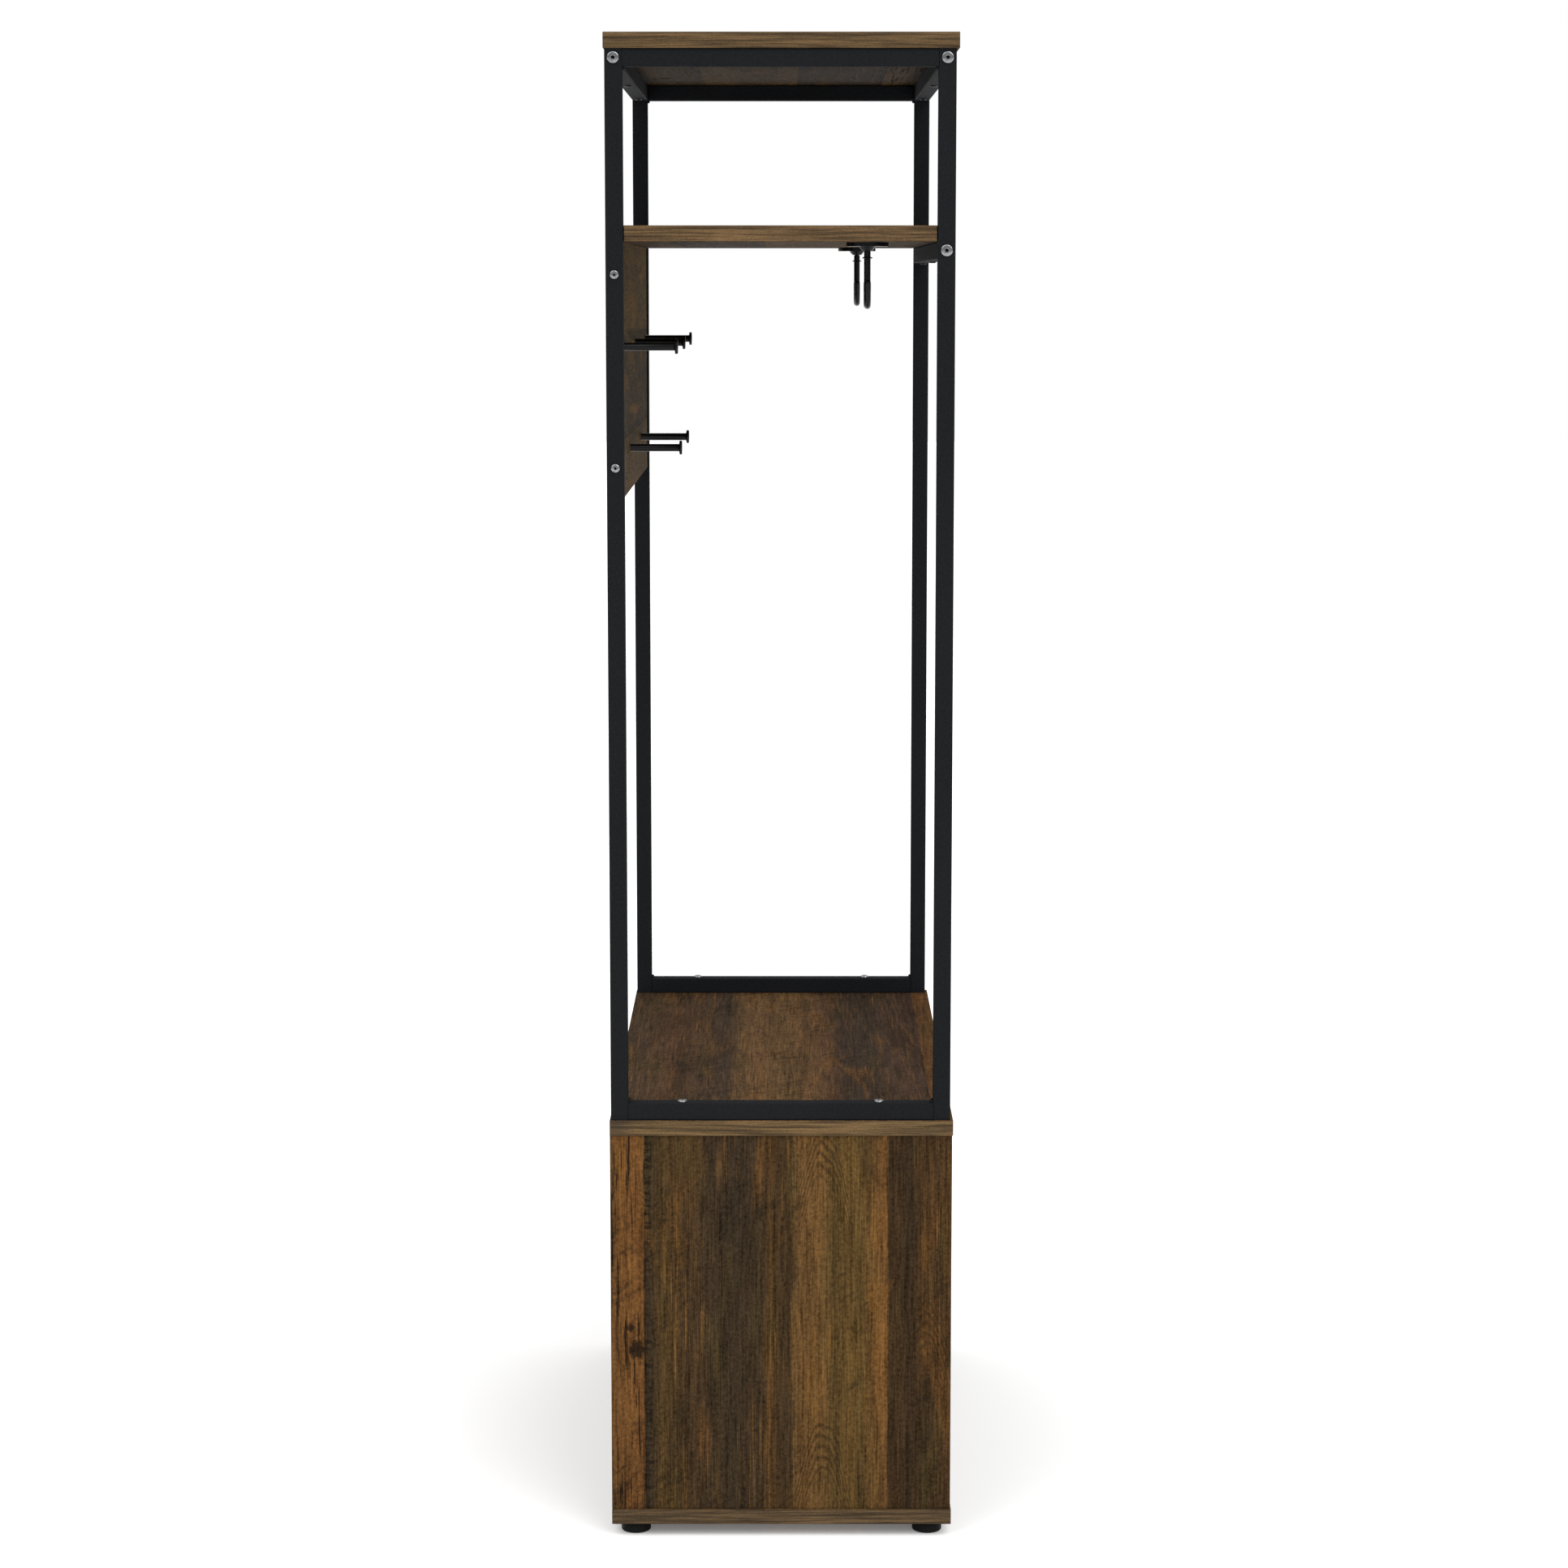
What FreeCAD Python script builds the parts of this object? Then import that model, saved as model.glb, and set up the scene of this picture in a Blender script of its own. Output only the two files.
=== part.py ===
import FreeCAD, Part
import math
import os

# Hall tree: a shoe bench cabinet with a tubular steel frame, a hat shelf, a peg panel and two swivel hooks.
# Millimetres. +Z is up, the origin is on the floor at the centre of the footprint, +X runs along the
# length towards the right end, and the front faces -Y.

Vector = FreeCAD.Vector
X_AXIS = Vector(1, 0, 0)
Y_AXIS = Vector(0, 1, 0)
Z_AXIS = Vector(0, 0, 1)

# Overall sizes, over the boards
length = 800.0
depth = 400.0
height = 1746.0

# Boards
board = 18.0                     # top, shelf, bench, base, end panels, divider and cubby shelves
peg_panel_thickness = 15.0
back_panel_thickness = 5.0

# Feet
foot_height = 15.0
foot_diameter = 35.0
foot_rim_round = 2.5
foot_inset = 27.5                # foot centre from the edges of the base board
foot_recess_diameter = 12.0
foot_floor = 6.0                 # material left above the recess for the screw head

# Cabinet
bench_height = 502.0             # floor to the top of the bench board
end_panel_inset = 3.0            # end panel from the end of the base board
end_panel_front_inset = 1.0
back_panel_inset = 8.0           # back panel's rear face from the rear edge
groove_depth = 6.0
groove_end_clearance = 0.5
groove_side_clearance = 0.1
cubby_shelf_front_inset = 12.0
cubby_shelf_clearance = 1.0      # gap at each end and behind
cubby_lower_height = 205.0       # clear height under the cubby shelf

# Steel frame
tube = 20.0
tube_wall = 1.5
tube_corner = 1.5
frame_end_inset = 2.5            # frame from the ends of the boards
frame_front_inset = 3.5
frame_rear_inset = 1.5
weld_leg = 3.0

# Shelf and peg panel
top_bay_height = 176.0           # clear height between the shelf and the top rails
shelf_end_inset = 1.5            # shelf's end from the frame's outer face
shelf_edge_inset = 1.0           # shelf's front and rear edge from the frame's faces
shelf_notch_clearance = 1.0
peg_panel_height = 292.0

# Pegs
peg_projection = 62.0
peg_diameter = 9.0
peg_head_diameter = 17.0
peg_head_thickness = 3.5
peg_head_round = 1.2
peg_end_inset = 80.0             # outer pegs of the upper row from the ends of the boards
peg_upper_drop = 119.0           # below the underside of the shelf
peg_row_pitch = 123.0
peg_bore_depth = 20.0

# Swivel hooks
hook_end_inset = 95.0            # hook axis from the end of the boards
hook_front_inset = 101.0
hook_plate_diameter = 49.0
hook_plate_thickness = 4.6
hook_boss_top_diameter = 20.0
hook_boss_tip_diameter = 12.0
hook_boss_height = 4.9
hook_shank_diameter = 7.6
hook_prong_diameter = 7.2
hook_collar_diameter = 12.4
hook_collar_waist = 0.6          # thickness at the collar's rim
hook_collar_thickness = 2.4      # thickness at the shank
hook_collar_drop = 17.7          # collar's middle below the shelf
hook_drop = 76.0
hook_bend_radius = 14.0
hook_tip_drop = 42.6
hook_tip_splay = 2.0
hook_pin_diameter = 5.0
hook_pin_head_diameter = 9.0
hook_pin_head_thickness = 1.8
hook_counterbore_diameter = 10.5
hook_counterbore_depth = 3.2
hook_play = 0.3                  # gap between the turning hook and its plate, above and below
hook_screw_circle = 17.0         # radius of the plate's screw circle
hook_screw_count = 3

# Fits
running_clearance = 0.05         # radial, for a shank in its hole
hole_end_clearance = 0.5         # hole deeper than the shank that stands in it
tolerance = 0.01                 # two levels closer than this are the same

# Fasteners: head diameter, head height, shank diameter, hex socket across flats
frame_bolt = (14.0, 2.4, 6.0, 4.0)
panel_bolt = (10.5, 2.4, 5.0, 3.0)
rail_screw = (11.0, 2.6, 4.5, 3.0)
under_screw = (9.0, 2.0, 4.0, 2.5)
peg_screw = (8.0, 2.0, 4.0, 2.5)
foot_screw = (8.0, 2.6, 4.0, 2.5)
countersunk_head_diameter = 8.0
countersunk_shank_diameter = 4.0
button_round_share = 0.8         # share of a button head's height that is rounded
socket_depth = 1.3
frame_bolt_grip = 12.0           # shank inside the rail's end plug
panel_bolt_grip = 25.0
board_screw_grip = 12.0          # screw inside a board
peg_screw_grip = 18.0            # screw inside the peg
end_plug_length = 15.0
rail_screw_inset = 83.0          # from the frame's front or rear face
top_screw_end_inset = 72.0
shelf_screw_end_inset = 95.0
panel_bolt_drops = (37.0, 255.0) # below the underside of the shelf

# Cabinet fittings
dowel_diameter = 8.0
dowel_in_board = 12.0
dowel_in_panel = 18.0
dowel_inset = 50.0               # from the front or rear edge of the boards
shelf_dowel_spacing = 220.0
cam_diameter = 15.0
cam_past_bolt = 4.5              # how far the cam reaches beyond the middle of its bolt
cam_setback = 24.0               # cam centre from the panel's edge
cam_inset = 110.0
cam_slot = (8.0, 1.2, 1.5)       # length, width, depth of each arm of the cross slot
cam_bolt_thread_diameter = 5.0
cam_bolt_thread = 11.0
cam_bolt_diameter = 6.0
cam_bolt_side_clearance = 0.25
shelf_pin_hole_diameter = 5.0
shelf_pin_diameter = 7.0
shelf_pin_web = 2.0              # left between the divider's opposite pin holes
shelf_pin_outside = 8.0
shelf_pin_inset = 60.0

# Levels and planes that follow from the sizes above
half_length = length / 2
half_depth = depth / 2
base_top = foot_height + board
bench_bottom = bench_height - board
frame_top = height - board
shelf_top = frame_top - tube - top_bay_height
shelf_bottom = shelf_top - board
peg_panel_bottom = shelf_bottom - peg_panel_height
frame_end = half_length - frame_end_inset
frame_inner_end = frame_end - tube
frame_front = frame_front_inset - half_depth
frame_rear = half_depth - frame_rear_inset
rear_post_middle = frame_rear - tube / 2
front_post_middle = frame_front + tube / 2
peg_panel_front = rear_post_middle - peg_panel_thickness / 2
peg_panel_rear = rear_post_middle + peg_panel_thickness / 2
panel_outer = half_length - end_panel_inset
panel_inner = panel_outer - board
panel_front = end_panel_front_inset - half_depth
back_panel_rear = half_depth - back_panel_inset
back_panel_front = back_panel_rear - back_panel_thickness
cam_depth = board / 2 + cam_past_bolt
cubby_shelf_bottom = base_top + cubby_lower_height
shelf_pin_in_panel = (board - shelf_pin_web) / 2
shelf_tube_middle = shelf_bottom - tube / 2
top_rail_middle = frame_top - tube / 2
hook_x = half_length - hook_end_inset
hook_y = hook_front_inset - half_depth
hook_boss_bottom = hook_plate_thickness + hook_boss_height

SIDES = (("left", -1), ("right", 1))


def block(x, y, z):
    """Box between two values on each axis, given in either order."""
    low = Vector(min(x), min(y), min(z))
    size = Vector(max(x), max(y), max(z)) - low
    return Part.makeBox(size.x, size.y, size.z, low)


def square_tube(x, y, z, axis):
    """Tube with rounded corners, open at both ends along axis."""
    outer = block(x, y, z)
    along = [edge for edge in outer.Edges
             if abs(edge.tangentAt(edge.FirstParameter).dot(axis)) > 1 - tolerance]
    outer = outer.makeFillet(tube_corner, along)
    wall = (Vector(1, 1, 1) - axis) * tube_wall
    low = Vector(min(x), min(y), min(z)) + wall
    high = Vector(max(x), max(y), max(z)) - wall
    return outer.cut(block((low.x, high.x), (low.y, high.y), (low.z, high.z)))


def hole(point, direction, diameter, deep, clearance=running_clearance):
    """Cylinder to cut for a shank of the given diameter that enters at point and runs along direction."""
    return Part.makeCylinder(diameter / 2 + clearance, deep, point, direction)


def placed(shape, point, direction):
    """The shape with its own +Z turned to direction and its origin moved to point."""
    shape.Placement = FreeCAD.Placement(point, FreeCAD.Rotation(Z_AXIS, direction))
    return shape


def hexagon(across_flats, deep):
    """Hexagonal prism that runs down from z = 0."""
    radius = across_flats / math.sqrt(3)
    corners = [Vector(radius * math.cos(math.radians(60 * k)), radius * math.sin(math.radians(60 * k)), 0)
               for k in range(7)]
    return Part.Face(Part.makePolygon(corners)).extrude(Vector(0, 0, -deep))


def button_head(sizes, shank_length, point, outward):
    """Domed bolt or screw with a hex socket. point is under the head and outward leaves through its top."""
    head_diameter, head_height, shank_diameter, across_flats = sizes
    head = Part.makeCylinder(head_diameter / 2, head_height)
    rim = [edge for edge in head.Edges if edge.BoundBox.ZMin > head_height - tolerance]
    head = head.makeFillet(head_height * button_round_share, rim)
    socket = hexagon(across_flats, socket_depth)
    socket.translate(Vector(0, 0, head_height))
    shank = Part.makeCylinder(shank_diameter / 2, shank_length, Vector(0, 0, -shank_length))
    return placed(head.cut(socket).fuse(shank).removeSplitter(), point, outward)


def group(solids):
    """Separate solids kept in one node."""
    return Part.makeCompound(solids)


def mirrored_ends(value):
    """The value on both ends and in the middle."""
    return (-value, 0.0, value)


# ---- places of the fasteners, used by the pieces that they pass through ----

def top_screw_places():
    rails = (front_post_middle, rear_post_middle)
    return [(x, y) for y in rails for x in mirrored_ends(half_length - top_screw_end_inset)]


def shelf_screw_places():
    return [(x, front_post_middle) for x in mirrored_ends(half_length - shelf_screw_end_inset)]


def rail_screw_places():
    x = frame_end - tube / 2
    edges = (frame_front + rail_screw_inset, frame_rear - rail_screw_inset)
    return [(side * x, y) for name, side in SIDES for y in edges]


def frame_bolt_places():
    """Side, y and z of each bolt through a post into the end of a long tube."""
    corners = ((front_post_middle, top_rail_middle), (rear_post_middle, top_rail_middle),
               (front_post_middle, shelf_tube_middle))
    return [(side, y, z) for name, side in SIDES for y, z in corners]


def panel_bolt_places():
    return [(side, shelf_bottom - drop) for name, side in SIDES for drop in panel_bolt_drops]


def peg_places():
    outer = half_length - peg_end_inset
    upper = shelf_bottom - peg_upper_drop
    lower = upper - peg_row_pitch
    return {
        "peg_upper_left": (-outer, upper),
        "peg_upper_middle": (0.0, upper),
        "peg_upper_right": (outer, upper),
        "peg_lower_left": (-outer / 2, lower),
        "peg_lower_right": (outer / 2, lower),
    }


def hook_screw_places():
    places = []
    for name, side in SIDES:
        for k in range(hook_screw_count):
            turn = math.radians(90 + 360 * k / hook_screw_count)
            x = side * hook_x + hook_screw_circle * math.cos(turn)
            y = hook_y + hook_screw_circle * math.sin(turn)
            places.append((x, y))
    return places


def foot_places():
    x = half_length - foot_inset
    y = half_depth - foot_inset
    return {
        "front_left_foot": (-x, -y),
        "front_right_foot": (x, -y),
        "rear_left_foot": (-x, y),
        "rear_right_foot": (x, y),
    }


def dowel_places():
    """x and y of each dowel line; every line has one dowel at the bench board and one at the base board."""
    middle = panel_outer - board / 2
    reach = half_depth - dowel_inset
    return [(x, y) for x in (-middle, 0.0, middle) for y in (-reach, reach)]


def shelf_dowel_places():
    return [(x, rear_post_middle) for x in mirrored_ends(shelf_dowel_spacing)]


def cam_places():
    """Side and y of each cam line; every line has one cam at the bench board and one at the base board."""
    reach = half_depth - cam_inset
    return [(side, y) for name, side in SIDES for y in (-reach, reach)]


def panel_edges():
    """Level of the cabinet's upper and lower board joints, with the direction into the panel."""
    return ((bench_bottom, -1), (base_top, 1))


def shelf_pin_places():
    """x of the face that holds the pin, the direction out of it, and y."""
    front = panel_front + cubby_shelf_front_inset + shelf_pin_inset
    rear = back_panel_front - shelf_pin_inset
    faces = ((-panel_inner, 1), (-board / 2, -1), (board / 2, 1), (panel_inner, -1))
    return [(x, out, y) for x, out in faces for y in (front, rear)]


# ---- boards ----

def top_board():
    shape = block((-half_length, half_length), (-half_depth, half_depth), (frame_top, height))
    shank = under_screw[2]
    for x, y in top_screw_places():
        shape = shape.cut(hole(Vector(x, y, frame_top), Z_AXIS, shank, board_screw_grip + hole_end_clearance))
    return shape


def shelf_board():
    reach = frame_end - shelf_end_inset
    front = frame_front + shelf_edge_inset
    rear = frame_rear - shelf_edge_inset
    shape = block((-reach, reach), (front, rear), (shelf_bottom, shelf_top))
    notch_x = frame_inner_end - shelf_notch_clearance
    notch_y = tube + shelf_notch_clearance
    for name, side in SIDES:
        for y in ((frame_front, frame_front + notch_y), (frame_rear - notch_y, frame_rear)):
            shape = shape.cut(block((side * notch_x, side * frame_end), y, (shelf_bottom, shelf_top)))
    screw_depth = board_screw_grip + hole_end_clearance
    for x, y in shelf_screw_places():
        shape = shape.cut(hole(Vector(x, y, shelf_bottom), Z_AXIS, under_screw[2], screw_depth))
    for x, y in hook_screw_places():
        shape = shape.cut(hole(Vector(x, y, shelf_bottom), Z_AXIS, countersunk_shank_diameter, screw_depth))
    for x, y in shelf_dowel_places():
        dowel_depth = dowel_in_board + hole_end_clearance
        shape = shape.cut(hole(Vector(x, y, shelf_bottom), Z_AXIS, dowel_diameter, dowel_depth))
    return shape


def cabinet_board(joint_level, into_board, low, high):
    """Bench or base board. joint_level is its face on the panels; into_board points away from them."""
    shape = block((-half_length, half_length), (-half_depth, half_depth), (low, high))
    up = Z_AXIS * into_board
    for x, y in dowel_places():
        mouth = Vector(x, y, joint_level)
        shape = shape.cut(hole(mouth, up, dowel_diameter, dowel_in_board + hole_end_clearance))
    for side, y in cam_places():
        start = Vector(side * (panel_outer - board / 2), y, joint_level)
        shape = shape.cut(hole(start, up, cam_bolt_thread_diameter, cam_bolt_thread + hole_end_clearance))
    groove_x = panel_inner + groove_depth
    groove_y = (back_panel_front - groove_side_clearance, back_panel_rear + groove_side_clearance)
    groove_z = (joint_level, joint_level + into_board * groove_depth)
    return shape.cut(block((-groove_x, groove_x), groove_y, groove_z))


def bench_board():
    shape = cabinet_board(bench_bottom, 1, bench_bottom, bench_height)
    for x, y in rail_screw_places():
        start = Vector(x, y, bench_height)
        shape = shape.cut(hole(start, -Z_AXIS, rail_screw[2], board_screw_grip + hole_end_clearance))
    return shape


def base_board():
    shape = cabinet_board(base_top, -1, foot_height, base_top)
    for x, y in foot_places().values():
        start = Vector(x, y, foot_height)
        shape = shape.cut(hole(start, Z_AXIS, foot_screw[2], board_screw_grip + hole_end_clearance))
    return shape


def end_panel(side):
    thickness = (side * panel_inner, side * panel_outer)
    shape = block(thickness, (panel_front, half_depth), (base_top, bench_bottom))
    for x, y in dowel_places():
        if x * side > 0:
            for level, inward in panel_edges():
                shape = shape.cut(hole(Vector(x, y, level), Z_AXIS * inward, dowel_diameter, dowel_in_panel))
    for cam_side, y in cam_places():
        if cam_side == side:
            for level, inward in panel_edges():
                edge = Vector(side * (panel_outer - board / 2), y, level)
                shape = shape.cut(hole(edge, Z_AXIS * inward, cam_bolt_diameter, cam_setback,
                                       cam_bolt_side_clearance))
                face = Vector(side * panel_inner, y, level + inward * cam_setback)
                shape = shape.cut(hole(face, X_AXIS * side, cam_diameter, cam_depth))
    for x, out, y in shelf_pin_places():
        if abs(x - side * panel_inner) < tolerance:
            pin_level = cubby_shelf_bottom - shelf_pin_diameter / 2
            start = Vector(x, y, pin_level)
            shape = shape.cut(hole(start, X_AXIS * -out, shelf_pin_hole_diameter, shelf_pin_in_panel))
    groove_y = (back_panel_front - groove_side_clearance, back_panel_rear + groove_side_clearance)
    groove_x = (side * panel_inner, side * (panel_inner + groove_depth))
    return shape.cut(block(groove_x, groove_y, (base_top, bench_bottom)))


def centre_divider():
    rear = back_panel_front - groove_side_clearance
    shape = block((-board / 2, board / 2), (panel_front, rear), (base_top, bench_bottom))
    for x, y in dowel_places():
        if x == 0.0:
            for level, inward in panel_edges():
                shape = shape.cut(hole(Vector(x, y, level), Z_AXIS * inward, dowel_diameter, dowel_in_panel))
    for x, out, y in shelf_pin_places():
        if abs(x) < board:
            start = Vector(x, y, cubby_shelf_bottom - shelf_pin_diameter / 2)
            shape = shape.cut(hole(start, X_AXIS * -out, shelf_pin_hole_diameter, shelf_pin_in_panel))
    return shape


def cubby_shelf(side):
    near = board / 2 + cubby_shelf_clearance
    far = panel_inner - cubby_shelf_clearance
    front = panel_front + cubby_shelf_front_inset
    rear = back_panel_front - cubby_shelf_clearance
    return block((side * near, side * far), (front, rear), (cubby_shelf_bottom, cubby_shelf_bottom + board))


def back_panel():
    reach = groove_depth - groove_end_clearance
    x = panel_inner + reach
    return block((-x, x), (back_panel_front, back_panel_rear), (base_top - reach, bench_bottom + reach))


def peg_panel():
    shape = block((-frame_inner_end, frame_inner_end), (peg_panel_front, peg_panel_rear),
                  (peg_panel_bottom, shelf_bottom))
    for x, z in peg_places().values():
        shape = shape.cut(hole(Vector(x, peg_panel_front, z), Y_AXIS, peg_screw[2], peg_panel_thickness))
    for side, z in panel_bolt_places():
        start = Vector(side * frame_inner_end, rear_post_middle, z)
        shape = shape.cut(hole(start, X_AXIS * -side, panel_bolt[2], panel_bolt_grip + hole_end_clearance))
    for x, y in shelf_dowel_places():
        shape = shape.cut(hole(Vector(x, y, shelf_bottom), -Z_AXIS, dowel_diameter, dowel_in_panel))
    return shape


# ---- steel frame ----

def post(side, front):
    y = (frame_front, frame_front + tube) if front else (frame_rear - tube, frame_rear)
    shape = square_tube((side * frame_inner_end, side * frame_end), y, (bench_height, frame_top), Z_AXIS)
    for bolt_side, bolt_y, z in frame_bolt_places():
        if bolt_side == side and min(y) < bolt_y < max(y):
            start = Vector(side * frame_end, bolt_y, z)
            shape = shape.cut(hole(start, X_AXIS * -side, frame_bolt[2], tube))
    for bolt_side, z in panel_bolt_places():
        if bolt_side == side and not front:
            start = Vector(side * frame_end, rear_post_middle, z)
            shape = shape.cut(hole(start, X_AXIS * -side, panel_bolt[2], tube))
    return shape


def end_rail(side, low):
    """Tube between the two posts of one end frame."""
    shape = square_tube((side * frame_inner_end, side * frame_end), (frame_front + tube, frame_rear - tube),
                        (low, low + tube), Y_AXIS)
    if low == bench_height:
        for x, y in rail_screw_places():
            shape = shape.cut(hole(Vector(x, y, low), Z_AXIS, rail_screw[2], tube))
    return shape


def long_tube(y_middle, top, screw_places):
    """Tube that joins the two end frames, drilled from below for the board on top of it."""
    y = (y_middle - tube / 2, y_middle + tube / 2)
    shape = square_tube((-frame_inner_end, frame_inner_end), y, (top - tube, top), X_AXIS)
    for x, screw_y in screw_places:
        if abs(screw_y - y_middle) < tube / 2:
            shape = shape.cut(hole(Vector(x, screw_y, top - tube), Z_AXIS, under_screw[2], tube))
    return shape


def tube_end_plugs():
    """Threaded blocks in the ends of the long tubes, one for each frame bolt."""
    half = tube / 2 - tube_wall
    plugs = []
    for side, y, z in frame_bolt_places():
        ends = (side * frame_inner_end, side * (frame_inner_end - end_plug_length))
        plug = block(ends, (y - half, y + half), (z - half, z + half))
        start = Vector(side * frame_inner_end, y, z)
        plugs.append(plug.cut(hole(start, X_AXIS * -side, frame_bolt[2], end_plug_length)))
    return group(plugs)


def frame_welds(side):
    """Fillet welds in the four inner corners of one end frame."""
    width = tube - 2 * tube_corner
    near = side * (frame_inner_end + tube_corner)
    beads = []
    corners = ((frame_front + tube, 1), (frame_rear - tube, -1))
    levels = ((bench_height + tube, 1), (frame_top - tube, -1))
    for y, into_y in corners:
        for z, into_z in levels:
            points = [Vector(near, y, z), Vector(near, y + into_y * weld_leg, z),
                      Vector(near, y, z + into_z * weld_leg), Vector(near, y, z)]
            beads.append(Part.Face(Part.makePolygon(points)).extrude(X_AXIS * (side * width)))
    return group(beads)


# ---- fasteners ----

def frame_bolts():
    reach = tube + frame_bolt_grip
    return group([button_head(frame_bolt, reach, Vector(side * frame_end, y, z), X_AXIS * side)
                  for side, y, z in frame_bolt_places()])


def peg_panel_bolts():
    reach = tube + panel_bolt_grip
    return group([button_head(panel_bolt, reach, Vector(side * frame_end, rear_post_middle, z), X_AXIS * side)
                  for side, z in panel_bolt_places()])


def bottom_rail_screws():
    reach = tube + board_screw_grip
    return group([button_head(rail_screw, reach, Vector(x, y, bench_height + tube), Z_AXIS)
                  for x, y in rail_screw_places()])


def under_screws(places, level):
    """Screws that hold a board down on a long tube whose underside is at level."""
    reach = tube + board_screw_grip
    return group([button_head(under_screw, reach, Vector(x, y, level), -Z_AXIS) for x, y in places])


def peg_screws():
    reach = peg_panel_thickness + peg_screw_grip
    return group([button_head(peg_screw, reach, Vector(x, peg_panel_rear, z), Y_AXIS)
                  for x, z in peg_places().values()])


def foot_screws():
    reach = foot_floor + board_screw_grip
    return group([button_head(foot_screw, reach, Vector(x, y, foot_height - foot_floor), -Z_AXIS)
                  for x, y in foot_places().values()])


# ---- pegs and hooks ----

def peg(x, z):
    """Round peg with a disc head, bored from behind for its screw."""
    shaft = Part.makeCylinder(peg_diameter / 2, peg_projection - peg_head_thickness)
    head = Part.makeCylinder(peg_head_diameter / 2, peg_head_thickness,
                             Vector(0, 0, peg_projection - peg_head_thickness))
    head = head.makeFillet(peg_head_round, [edge for edge in head.Edges if edge.isClosed()])
    shape = shaft.fuse(head).removeSplitter().cut(hole(Vector(0, 0, 0), Z_AXIS, peg_screw[2], peg_bore_depth))
    return placed(shape, Vector(x, peg_panel_front, z), -Y_AXIS)


def hook_plate(side):
    """Round plate with a conical boss, bored for the hook's pin and counterbored for the pin's head."""
    plate = Part.makeCylinder(hook_plate_diameter / 2, hook_plate_thickness)
    boss = Part.makeCone(hook_boss_top_diameter / 2, hook_boss_tip_diameter / 2, hook_boss_height,
                         Vector(0, 0, hook_plate_thickness))
    shape = plate.fuse(boss).removeSplitter()
    shape = shape.cut(hole(Vector(0, 0, 0), Z_AXIS, hook_pin_diameter, hook_boss_bottom))
    shape = shape.cut(Part.makeCylinder(hook_counterbore_diameter / 2, hook_counterbore_depth))
    shape = placed(shape, Vector(side * hook_x, hook_y, shelf_bottom), -Z_AXIS)
    for x, y in hook_screw_places():
        if x * side > 0:
            point = Vector(x, y, shelf_bottom)
            shape = shape.cut(hole(point, -Z_AXIS, countersunk_shank_diameter, hook_plate_thickness))
            shape = shape.cut(countersink(Vector(x, y, shelf_bottom - hook_plate_thickness)))
    return shape


def countersink(point):
    """Cone of a countersunk screw head whose flat top is at point, facing down."""
    top = countersunk_head_diameter / 2
    bottom = countersunk_shank_diameter / 2
    return Part.makeCone(top, bottom, top - bottom, point, Z_AXIS)


def hook_plate_screws():
    screws = []
    reach = hook_plate_thickness + board_screw_grip
    for x, y in hook_screw_places():
        start = Vector(x, y, shelf_bottom - hook_plate_thickness)
        shank = Part.makeCylinder(countersunk_shank_diameter / 2, reach, start, Z_AXIS)
        socket = hexagon(under_screw[3], socket_depth)
        socket.translate(start + Vector(0, 0, socket_depth))
        screws.append(shank.fuse(countersink(start)).removeSplitter().cut(socket))
    return group(screws)


def hook(side):
    """Two-pronged hook with its collar and the pin that turns in the plate."""
    bend_level = hook_bend_radius + hook_prong_diameter / 2 - hook_drop
    shank_top = -hook_boss_bottom - hook_play
    shank = Part.makeCylinder(hook_shank_diameter / 2, shank_top - bend_level, Vector(0, 0, bend_level))
    pin_top = hook_play + hook_pin_head_thickness - hook_counterbore_depth
    pin = Part.makeCylinder(hook_pin_diameter / 2, pin_top - shank_top, Vector(0, 0, shank_top))
    pin_head = Part.makeCylinder(hook_pin_head_diameter / 2, hook_pin_head_thickness,
                                 Vector(0, 0, pin_top - hook_pin_head_thickness))
    shape = shank.fuse([pin, pin_head, hook_collar(), prong(1, bend_level), prong(-1, bend_level)])
    shape = shape.removeSplitter()
    shape.translate(Vector(side * hook_x, hook_y, shelf_bottom))
    return shape


def hook_collar():
    half = hook_collar_thickness / 2
    rim = hook_collar_waist / 2
    inner = hook_shank_diameter / 4
    outer = hook_collar_diameter / 2
    outline = [(inner, -half), (hook_shank_diameter / 2, -half), (outer, -rim), (outer, rim),
               (hook_shank_diameter / 2, half), (inner, half), (inner, -half)]
    points = [Vector(x, 0, z - hook_collar_drop) for x, z in outline]
    return Part.Face(Part.makePolygon(points)).revolve(Vector(0, 0, 0), Z_AXIS, 360)


def prong(way, bend_level):
    """Half turn outwards from the foot of the shank, then up to a round tip; way is +1 or -1 along x."""
    radius = hook_prong_diameter / 2
    start = Vector(0, 0, bend_level)
    low = Vector(way * hook_bend_radius, 0, bend_level - hook_bend_radius)
    out = Vector(2 * way * hook_bend_radius, 0, bend_level)
    tip = Vector(out.x + way * hook_tip_splay, 0, -hook_tip_drop - radius)
    bend = Part.Wire(Part.Arc(start, low, out).toShape())
    bend_section = Part.Face(Part.Wire(Part.makeCircle(radius, start, Z_AXIS)))
    arm = Part.makeCylinder(radius, (tip - out).Length, out, tip - out)
    parts = [Part.makeSphere(radius, out), arm, Part.makeSphere(radius, tip)]
    return bend.makePipe(bend_section).fuse(parts)


# ---- cabinet fittings and feet ----

def cabinet_dowels():
    dowels = []
    for x, y in dowel_places():
        for level, inward in panel_edges():
            start = Vector(x, y, level - inward * dowel_in_board)
            dowels.append(Part.makeCylinder(dowel_diameter / 2, dowel_in_board + dowel_in_panel, start,
                                            Z_AXIS * inward))
    return group(dowels)


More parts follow.
